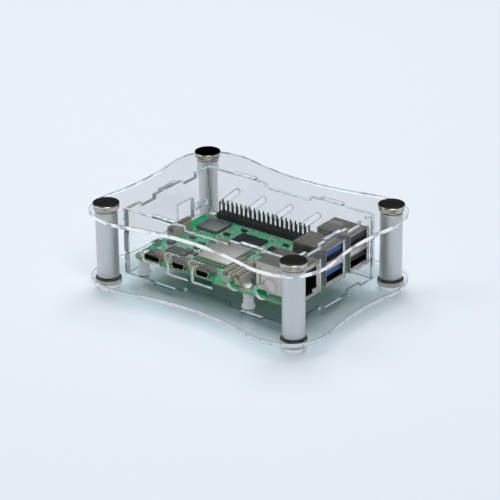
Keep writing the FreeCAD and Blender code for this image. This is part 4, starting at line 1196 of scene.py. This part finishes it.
# ---- chips, shield and header -----------------------------------------------------------------------
@dataclass
class ChipSet:
    """The large chips, the radio shield, the coils and the pin headers."""

    edge: float = 0.06
    dimple: float = 0.35
    blob: float = 0.34
    blob_pitch: float = 1.15
    chip_count: int = 36
    chip_seed: int = 7
    rim: float = 0.9

    def processor(self) -> None:
        """Make the metal lid with its rolled rim on the green carrier."""
        broken_copy("processor", SUBSTRATE, "substrate", self.edge)
        box = Extent.of("processor_lid")
        shape = Shape()
        shape.copied("processor_lid", 0.12)
        rise = 0.03
        shape.box((box.low.x + 1.3, box.low.y + 1.3, box.high.z - 0.1),
                  (box.high.x - 1.3, box.high.y - 1.3, box.high.z - rise), 0.0)
        shape.stand_in("processor_lid", "pressed", (LID_METAL,), "lid_metal")
        carrier = Extent.of("processor")
        specks = Shape()
        dice, rim = random.Random(self.chip_seed), self.rim
        for i in range(self.chip_count):
            side, along = i % 4, dice.uniform(1.4, carrier.size.x - 1.4)
            x = carrier.low.x + (along if side < 2 else (rim if side == 2 else carrier.size.x - rim))
            y = carrier.low.y + ((rim if side == 0 else carrier.size.y - rim) if side < 2 else along)
            if not (box.low.x - 0.4 < x < box.high.x + 0.4 and box.low.y - 0.4 < y < box.high.y + 0.4):
                specks.box((x - 0.3, y - 0.16, carrier.high.z),
                           (x + 0.3, y + 0.16, carrier.high.z + 0.3), 0, i % 2)
        specks.finish("processor_carrier_chips", CASE, (CERAMIC_TAN, SOLDER), "shield_metal")

    def moulded(self, node: str, finish: Finish) -> None:
        """Make a moulded chip with a small dimple at its first pin.

        Args:
            node: CAD node of the chip.
            finish: Finish of its body.
        """
        box = Extent.of(node)
        shape = Shape()
        shape.copied(node, self.edge)
        shape.turned([(0.0, box.high.z - 0.03), (self.dimple, box.high.z - 0.03),
                      (self.dimple + 0.08, box.high.z + 0.01), (0.0, box.high.z + 0.01)],
                     (box.low.x + 1.0, box.high.y - 1.0), 20, 1)
        shape.stand_in(node, "moulded", (finish, SOCKET_BLACK), "mould_black")

    def shield(self) -> None:
        """Make the pressed shield with a shallow frame on top and solder blobs along its foot."""
        box = Extent.of("wifi_shield")
        shape = Shape()
        shape.copied("wifi_shield", 0.12)
        top, inset, line = box.high.z, 1.2, 0.16
        low, high = box.low + Vector((inset, inset, 0)), box.high - Vector((inset, inset, 0))
        rise = 0.05
        for a, b in (((low.x, low.y), (high.x, low.y)), ((high.x, low.y), (high.x, high.y)),
                     ((high.x, high.y), (low.x, high.y)), ((low.x, high.y), (low.x, low.y))):
            shape.beam((*a, top), (*b, top), line, rise, material=0)
        level = box.low.z
        steps_x, steps_y = int(box.size.x / self.blob_pitch), int(box.size.y / self.blob_pitch)
        for i in range(steps_x):
            x = box.low.x + (i + 0.5) * box.size.x / steps_x
            for y in (box.low.y, box.high.y):
                shape.disc((x, y, level), self.blob, 0.45, 8, 0.15, 1 + i % 2)
        for i in range(steps_y):
            y = box.low.y + (i + 0.5) * box.size.y / steps_y
            for x in (box.low.x, box.high.x):
                shape.disc((x, y, level), self.blob, 0.45, 8, 0.15, 1 + i % 2)
        shape.stand_in("wifi_shield", "pressed", (SHIELD, PAD_GOLD, EPOXY), "shield_metal")

    def coils(self) -> None:
        """Make the moulded coils and the small support chips, with broken edges."""
        broken_copy("inductors", FERRITE, "ferrite", 0.15)
        broken_copy("support_chips", EPOXY, "mould_black", self.edge)

    def header(self) -> None:
        """Make the pin headers and their pins, with broken edges."""
        for body, pins in (("header_body", "header_pins"),
                           ("network_power_header", "network_power_pins")):
            broken_copy(body, HEADER_BLACK, "header_black", 0.08)
            broken_copy(pins, GOLD_PIN, "pin_gold", 0.06)

    def build(self) -> None:
        """Make everything in this set."""
        self.processor()
        # The power chip's greyer epoxy is painted sheen.
        for node, finish in (("memory_chip", EPOXY), ("io_chip", EPOXY), ("power_chip", EPOXY_SHEEN)):
            self.moulded(node, finish)
        self.shield()
        self.coils()
        self.header()


# ---- front edge and ribbon sockets ------------------------------------------------------------------
@dataclass
class SmallSockets:
    """USB-C and small video sockets, plug housings and ribbon sockets."""

    spring: float = 0.06
    contact: float = 0.05
    wall: float = 0.5
    pin: float = 0.19
    plug_pitch: float = 1.0
    ribbon_pitch: float = 0.5
    video_tongue_half: float = 2.2

    def front_socket(self, shell: str, tongue: Extent, contacts: int) -> None:
        """Make a drawn shell with its leaf springs, ground tabs and tongue contacts.

        Args:
            shell: CAD node of the shell.
            tongue: Box of the tongue inside it.
            contacts: Number of contacts on each face of the tongue.
        """
        box = Extent.of(shell)
        shape = Shape()
        shape.copied(shell, 0.12)
        top, middle, lift = box.high.z, box.middle.x, self.spring
        for side in (-1, 1):
            x = middle + side * box.size.x * 0.24
            # The window under each spring is painted shade: a dark plate.
            shape.box((x - 0.75, box.low.y + 0.9, top - 0.1),
                      (x + 0.75, box.low.y + 3.7, top + 0.01), 0, 1)
            shape.beam((x, box.low.y + 1.05, top - 0.02), (x, box.low.y + 3.6, top + lift), 0.95, 0.12)
            edge = middle + side * box.size.x / 2
            for y in (box.low.y + 2.1, box.high.y - 1.1):
                shape.box((edge, y - 0.5, box.low.z - 0.02),
                          (edge + side * 0.25, y + 0.5, box.low.z + 1.1), 0.05)
                shape.disc((edge + side * 0.3, y, box.low.z), 0.75, 0.3, 12, 0.35, 2)
        # The seam along the top is painted shade: a dark strip.
        shape.box((middle - 0.04, box.low.y + 4.2, top - 0.05),
                  (middle + 0.04, box.high.y - 0.1, top + PROUD), 0, 1)
        pitch = tongue.size.x * 0.86 / contacts
        for x in spread(tongue.middle.x, contacts, pitch):
            for z in (tongue.low.z - self.contact, tongue.high.z):
                shape.box((x - pitch * 0.28, tongue.low.y + 0.2, z),
                          (x + pitch * 0.28, tongue.high.y - 0.3, z + self.contact), 0, 3)
        shape.stand_in(shell, "drawn", (SHELL_STEEL, SHADOW_GAP, SOLDER, CONTACT_GOLD), "shell_steel")

    def plug_housing(self, node: str, positions: int) -> None:
        """Make an upright plug housing: cream walls, tan floor and brass pins.

        Args:
            node: CAD node of the housing.
            positions: Number of pins.
        """
        box = Extent.of(node)
        shape = Shape()
        shape.copied(node, 0.08)
        wall, floor, pin = self.wall, box.low.z + 1.0, self.pin
        shape.box((box.low.x + wall, box.low.y + wall, floor - 0.1),
                  (box.high.x - wall, box.high.y - wall, floor + 0.08), 0, 1)
        y = box.middle.y
        for x in spread(box.middle.x, positions, self.plug_pitch):
            shape.box((x - pin, y - pin, floor), (x + pin, y + pin, floor + 2.5), 0.06, 2)
            root, knee, foot, toe = (
                (x, box.high.y + reach, box.low.z + level)
                for reach, level in ((-0.1, 0.35), (0.35, 0.08), (0.3, 0.07), (0.75, 0.07)))
            shape.beam(root, knee, 0.3, 0.12, material=3)
            shape.beam(foot, toe, 0.3, 0.12, material=3)
        for side, edge in box.sides(0):
            shape.box((edge, box.low.y + 0.3, box.low.z),
                      (edge + side * 0.4, box.low.y + 1.5, box.low.z + 0.35), 0.05, 3)
            # A window in each side is painted shade: a dark plate.
            shape.box((edge, box.middle.y - 0.45, box.low.z + 1.9),
                      (edge + side * PROUD, box.middle.y + 0.45, box.low.z + 3.3), 0, 4)
        shape.stand_in(node, "moulded", (CREAM, BEIGE_BASE, CONTACT_GOLD, SOLDER, SHADOW_GAP),
                       "cream_plastic")

    def ribbon_socket(self, node: str, latch: str) -> None:
        """Make a ribbon socket with its row of contacts and soldered feet, and its latch.

        Args:
            node: CAD node of the housing.
            latch: CAD node and body of the latch.
        """
        box, bar = Extent.of(node), Extent.of(latch)
        shape = Shape()
        shape.copied(node, 0.08)
        pitch = self.ribbon_pitch
        count = int((box.size.y - 2.4) / pitch)
        for y in spread(box.middle.y, count, pitch):
            for side, foot in box.sides(0):
                shape.beam((foot, y, box.low.z + 0.12), (foot + side * 0.5, y, box.low.z + 0.07),
                           0.2, 0.12, material=1)
            shape.box((box.low.x + 0.5, y - 0.1, box.high.z - 2.7),
                      (box.low.x + 0.64, y + 0.1, box.high.z - 0.5), 0, 1)
        for side, y in ((-1, box.low.y), (1, box.high.y)):
            shape.box((box.middle.x - 1.0, y, box.low.z),
                      (box.middle.x + 1.0, y + side * 0.45, box.low.z + 0.25), 0.04, 1)
        shape.stand_in(node, "moulded", (CREAM, SOLDER), "cream_plastic")
        slider = Shape()
        slider.copied(latch, 0.1)
        # The groove along the latch is painted shade: a dark strip.
        groove = 0.1
        slider.box((bar.middle.x - 0.14, bar.low.y + 1.6, bar.high.z - groove),
                   (bar.middle.x + 0.14, bar.high.y - 1.6, bar.high.z + PROUD), 0, 1)
        slider.stand_in(latch, "moulded", (LATCH, SHADOW_GAP), "latch_brown", latch)

    def build(self) -> None:
        """Make the sockets of the front edge, the housings and the ribbon sockets."""
        self.front_socket("usb_c_shell", Extent.of("usb_c_tongue"), 10)
        both, half = Extent.of("micro_hdmi_tongues"), self.video_tongue_half
        for side in ("left", "right"):
            shell = Extent.of(f"micro_hdmi_shell_{side}")
            tongue = Extent(Vector((shell.middle.x - half, both.low.y, both.low.z)),
                            Vector((shell.middle.x + half, both.high.y, both.high.z)))
            self.front_socket(f"micro_hdmi_shell_{side}", tongue, 9)
        for node, positions in (("battery_connector", 2), ("uart_connector", 3), ("fan_connector", 4)):
            self.plug_housing(node, positions)
        for kind, side in (("camera", "_left"), ("camera", "_right"), ("expansion", "")):
            self.ribbon_socket(f"{kind}_connector{side}", f"{kind}_latch{side}")


# ---- large sockets at the port end ------------------------------------------------------------------
@dataclass
class PortEnd:
    """The network socket and the two stacked pairs of USB sockets."""

    leaf: float = 0.07
    gap: float = 0.28
    mouth_height: float = 5.6
    mouth_half: float = 6.25
    mouth_lows: tuple[float, float] = (1.6, 9.7)
    tongue_low: float = 2.45
    contact_span: float = 9.0
    lip: float = 0.22
    lip_out: float = 0.12
    seam_half: float = 0.03

    def leaf_spring(self, shape: Shape, root: Vector, length: float, across: Vector, out: Vector,
                    width: float) -> None:
        """Add a leaf cut free on three sides: a slit of painted shade round it and the leaf bent a
        little.

        Args:
            shape: Shape that gets the leaf.
            root: Middle of the attached end, on the shell's surface.
            length: From the attached end to the free end, which is towards the front.
            across: Unit vector across the leaf.
            out: Unit vector out of the surface.
            width: Width of the leaf.
        """
        skin, reach = out * (PROUD / 2), Vector((length, 0, 0))
        for side in (-1, 1):
            offset = across * (side * (width / 2 + self.gap / 2))
            shape.beam(root + offset + skin, root + reach + offset + skin, self.gap, 0.02, out, 1)
        end = root + reach + reach.normalized() * (self.gap / 2) + skin
        half = across * (width / 2 + self.gap)
        shape.beam(end - half, end + half, self.gap, 0.02, out, 1)
        shape.beam(root, root + reach + out * self.leaf, width, 0.06, out, 0)

    def usb_pair(self, name: str, tongue: Finish, contacts: int) -> None:
        """Make one stacked pair: folded shell, springs, tongues and contacts.

        Args:
            name: Start of the names of its CAD nodes.
            tongue: Finish of the tongues.
            contacts: Number of contacts under each tongue.
        """
        box = Extent.of(f"{name}_shell")
        mouth_height, mouth_half, front = self.mouth_height, self.mouth_half, box.high.x
        lows = tuple(box.low.z + low for low in self.mouth_lows)
        shape = Shape()
        shape.copied(f"{name}_shell", 0.22, 60.0)
        for low in lows:
            high, middle = low + mouth_height, box.middle.y
            lip, proud = self.lip, self.lip_out
            for y in (middle - mouth_half, middle + mouth_half):
                shape.box((front - 0.2, y - lip / 2, low), (front + proud, y + lip / 2, high), 0.05)
            for z in (low, high):
                shape.box((front - 0.2, middle - mouth_half, z - lip / 2),
                          (front + proud, middle + mouth_half, z + lip / 2), 0.05)
            for y in (middle - 3.0, middle + 3.0):
                shape.beam((front - 1.0, y, low + 0.03), (front - 5.5, y, low + 0.75), 1.6, 0.14)
                shape.beam((front - 1.0, y, high - 0.02), (front - 5.5, y, high - 0.2), 1.4, 0.1)
            level = (low + high) / 2
            for side in (-1, 1):
                shape.beam((front - 0.9, middle + side * mouth_half, level),
                           (front - 4.5, middle + side * (mouth_half - 0.5), level), 1.8, 0.12,
                           (0, side, 0))
        for y in (box.middle.y - 3.4, box.middle.y + 3.4):
            self.leaf_spring(shape, Vector((front - 8.2, y, box.high.z)), 5.0, ACROSS, UP, 1.7)
        for side, face in box.sides(1):
            for low in lows:
                self.leaf_spring(shape, Vector((front - 7.4, face, low + mouth_height / 2)), 4.6,
                                 UP, ACROSS * side, 1.8)
            # The seam on each side is painted shade: a dark strip.
            seam = box.low.x + 4.0
            shape.box((seam - 0.05, face, box.low.z + 0.6),
                      (seam + 0.05, face + side * 0.01, box.high.z - 0.3), 0, 1)
            for x in (box.low.x + 2.2, box.high.x - 6.0):
                shape.box((x - 0.9, face, box.low.z - 0.02),
                          (x + 0.9, face + side * 0.2, box.low.z + 1.4), 0.05)
        back = box.low.x
        shape.box((back - PROUD, box.low.y + 0.8, box.low.z + 0.5),
                  (back + 0.02, box.high.y - 0.8, box.high.z - 0.9), 0, 2)
        # The seam along the top is painted shade: a dark strip.
        shape.box((front - 8.6, box.middle.y - self.seam_half, box.high.z - 0.05),
                  (back + 0.2, box.middle.y + self.seam_half, box.high.z + PROUD), 0, 1)
        shape.stand_in(f"{name}_shell", "folded", (SHELL_STEEL, SHADOW_GAP, SOCKET_BLACK),
                       "shell_steel")
        self.usb_tongues(name, tongue, contacts, lows)

    def usb_tongues(self, name: str, tongue: Finish, contacts: int, lows: Sequence[float]) -> None:
        """Make the two tongues with their contacts beneath.

        Args:
            name: Start of the name of the CAD node.
            tongue: Finish of the tongues.
            contacts: Number of contacts under each tongue.
            lows: Levels of the lower side of each mouth.
        """
        node = f"{name}_tongues"
        box = Extent.of(node)
        shape = Shape()
        shape.copied(node, 0.12)
        for low in lows:
            under = low + self.tongue_low
            for y in spread(box.middle.y, contacts, self.contact_span / contacts):
                shape.box((box.high.x - 8.5, y - 0.5, under - 0.05),
                          (box.high.x - 0.8, y + 0.5, under + 0.05), 0.02, 1)
        slot = "blue_plastic" if tongue is SOCKET_BLUE else "header_black"
        shape.stand_in(node, "moulded", (tongue, CONTACT_GOLD), slot)

    def network(self) -> None:
        """Make the network socket: folded shell, light pipes, springs and eight contact wires."""
        box = Extent.of("network_shell")
        front, top, middle = box.high.x, box.high.z, box.middle.y
        shape = Shape()
        shape.copied("network_shell", 0.16, 60.0)
        for y in (middle - 4.2, middle + 4.2):
            self.leaf_spring(shape, Vector((front - 9.0, y, top)), 5.2, ACROSS, UP, 1.6)
        for side, face in box.sides(1):
            for z in (box.low.z + 4.0, box.low.z + 9.2):
                self.leaf_spring(shape, Vector((front - 7.5, face, z)), 4.4, UP, ACROSS * side, 1.6)
            # The seam on each side is painted shade: a dark strip.
            shape.box((box.low.x + 1.8, face, box.low.z + 3.2),
                      (box.low.x + 2.4, face + side * PROUD, box.high.z - 2.6), 0, 1)
            shape.box((box.low.x + 6.6, face, box.low.z - 0.02),
                      (box.low.x + 8.6, face + side * 0.2, box.low.z + 1.5), 0.05)
        # The seam along the top is painted shade: a dark strip.
        shape.box((front - 9.6, middle - self.seam_half, top - 0.05),
                  (box.low.x + 0.2, middle + self.seam_half, top + PROUD), 0, 1)
        shape.box((box.low.x - PROUD, box.low.y + 0.9, box.low.z + 0.4),
                  (box.low.x + 0.02, box.high.y - 0.9, top - 0.9), 0, 2)
        for side, finish in ((-1, 3), (1, 4)):
            y = middle + side * 5.9
            shape.box((front - 0.4, y - 1.5, top - 1.7),
                      (front + 0.05, y + 1.5, top - 0.55), 0.08, finish)
        shape.stand_in("network_shell", "folded",
                       (SHELL_STEEL, SHADOW_GAP, SOCKET_BLACK, LENS_GREEN, LENS_AMBER), "shell_steel")
        insert = Shape()
        insert.copied("network_insert", 0.08)
        for y in spread(middle, 8, 1.02):
            root, bend, end = ((front - back, y, top - down)
                               for back, down in ((10.5, 2.5), (3.2, 4.9), (2.6, 2.6)))
            insert.beam(root, bend, 0.36, 0.3, material=1)
            insert.beam(bend, end, 0.36, 0.3, (1, 0, 0), 1)
        insert.stand_in("network_insert", "moulded", (SOCKET_BLACK, CONTACT_GOLD), "header_black")

    def build(self) -> None:
        """Make the three sockets."""
        self.network()
        self.usb_pair("usb3", SOCKET_BLUE, 5)
        self.usb_pair("usb2", SOCKET_BLACK, 4)


# ---- screws, spacers and edge parts -----------------------------------------------------------------
@dataclass
class SmallHardware:
    """Board and base screws, spacers, power button, status light and card cage."""

    def card_cage(self) -> None:
        """Make the card cage with its stamped windows and contact feet."""
        box = Extent.of("card_slot")
        shape = Shape()
        shape.copied("card_slot", 0.05)
        low = box.low.z
        # The windows in its floor are painted shade: dark plates.
        for x in (box.low.x + 4.0, box.low.x + 9.0):
            shape.box((x - 1.2, box.middle.y - 4.5, low - PROUD),
                      (x + 1.2, box.middle.y + 4.5, low + 0.02), 0, 1)
        for i in range(8):
            y = box.low.y + 2.2 + i * 1.1
            shape.beam((box.high.x, y, box.high.z - 0.1), (box.high.x + 0.8, y, box.high.z - 0.07),
                       0.4, 0.12, material=2)
        shape.stand_in("card_slot", "stamped", (SHELL_STEEL, SHADOW_GAP, SOLDER), "shell_steel")

    def build(self) -> None:
        """Make the hardware."""
        for screws in ("board_screws", "base_screws"):
            broken_copy(screws, SCREW_STEEL, "screw_steel", 0.12)
        broken_copy("standoffs", NYLON, "nylon", 0.15)
        broken_copy("power_button_housing", SHELL_STEEL, "shell_steel", 0.08)
        broken_copy("power_button_plunger", WHITE_PLASTIC, "white_plastic", 0.1, "power_button_plunger")
        broken_copy("status_led", LED_LENS, "led_lens", 0.08)
        self.card_cage()


# ---- carried-over CAD nodes -----------------------------------------------------------------------
def dress_cad_nodes() -> None:
    """Give every CAD node that stays the finish of its material slot."""
    slots = {s["node"]: s["material_slot"] for s in frame["record"]["subparts"]}
    for name, node in frame["nodes"].items():
        if node.hide_render:
            continue
        finish = CAD_FINISHES[slots[name]]
        node.data.materials.clear()
        node.data.materials.append(finish.build())
        log.info("%s dressed as %s", name, finish.name)


# ---- stage ----------------------------------------------------------------------------------------
@dataclass
class Studio:
    """Pale floor, soft lights and the camera."""

    floor_colour: str = "#e9f0f8"
    world_colour: str = "#e6eef8"
    world_strength: float = 0.08
    camera_place: tuple[float, float, float] = (622.4, -808.6, 490.4)
    yaw: float = 37.56
    pitch: float = 24.69
    roll: float = -0.63
    lens: float = 183.7
    shift_up: float = -0.01

    def floor(self) -> None:
        """Lay a wide floor under the object."""
        bm = bmesh.new()
        bmesh.ops.create_grid(bm, x_segments=1, y_segments=1, size=6.0)
        mesh = bpy.data.meshes.new("studio_floor")
        bm.to_mesh(mesh)
        bm.free()
        material = bpy.data.materials.new("studio_paper")
        material.use_nodes = True
        shader = material.node_tree.nodes["Principled BSDF"]
        shader.inputs["Base Color"].default_value = linear(self.floor_colour)
        shader.inputs["Roughness"].default_value = 0.9
        mesh.materials.append(material)
        floor = bpy.data.objects.new("studio_floor", mesh)
        bpy.context.scene.collection.objects.link(floor)

    def lamp(self, name: str, place: Sequence[float], size: float, power: float) -> None:
        """Hang one square soft light that faces the object.

        Args:
            name: Name of the light.
            place: Place in metres.
            size: Side of the light in metres.
            power: Power in watts.
        """
        data = bpy.data.lights.new(name, "AREA")
        data.shape, data.size, data.energy = "SQUARE", size, power
        light = bpy.data.objects.new(name, data)
        light.location = place
        light.rotation_euler = (-Vector(place)).to_track_quat("-Z", "Y").to_euler()
        light.visible_transmission = False
        bpy.context.scene.collection.objects.link(light)

    def camera(self) -> None:
        """Place the long-lens camera that looks down on the near corner."""
        data = bpy.data.cameras.new("camera")
        data.lens, data.shift_y = self.lens, self.shift_up
        data.clip_start, data.clip_end = 0.05, 20.0
        camera = bpy.data.objects.new("camera", data)
        yaw, pitch, roll = (math.radians(a) for a in (self.yaw, self.pitch, self.roll))
        turn = (Matrix.Rotation(yaw, 4, "Z") @ Matrix.Rotation(math.pi / 2 - pitch, 4, "X")
                @ Matrix.Rotation(roll, 4, "Z"))
        camera.matrix_world = Matrix.Translation(Vector(self.camera_place) * METRES) @ turn
        bpy.context.scene.collection.objects.link(camera)
        bpy.context.scene.camera = camera

    def build(self) -> None:
        """Set up floor, world, lights and camera."""
        self.floor()
        world = bpy.data.worlds.new("studio_world")
        world.use_nodes = True
        background = world.node_tree.nodes["Background"]
        background.inputs["Color"].default_value = linear(self.world_colour)
        background.inputs["Strength"].default_value = self.world_strength
        bpy.context.scene.world = world
        bpy.context.scene.view_settings.view_transform = "Standard"
        self.lamp("overhead_softbox", (-0.3, 0.5, 1.5), 1.2, 19.0)
        self.lamp("front_fill", (0.75, -0.65, 1.3), 0.8, 7.8)
        self.lamp("left_fill", (-0.95, -0.55, 1.3), 0.8, 5.0)
        self.camera()


def main() -> None:
    """Build the studio and every sub-assembly."""
    logging.basicConfig(level=logging.INFO, format="%(name)s: %(message)s")
    for assembly in (Studio(), AcrylicCase(), PillarSet(), CircuitBoard(), ChipSet(), SmallSockets(),
                     PortEnd(), SmallHardware()):
        assembly.build()
    dress_cad_nodes()


if __name__ == "__main__":
    main()
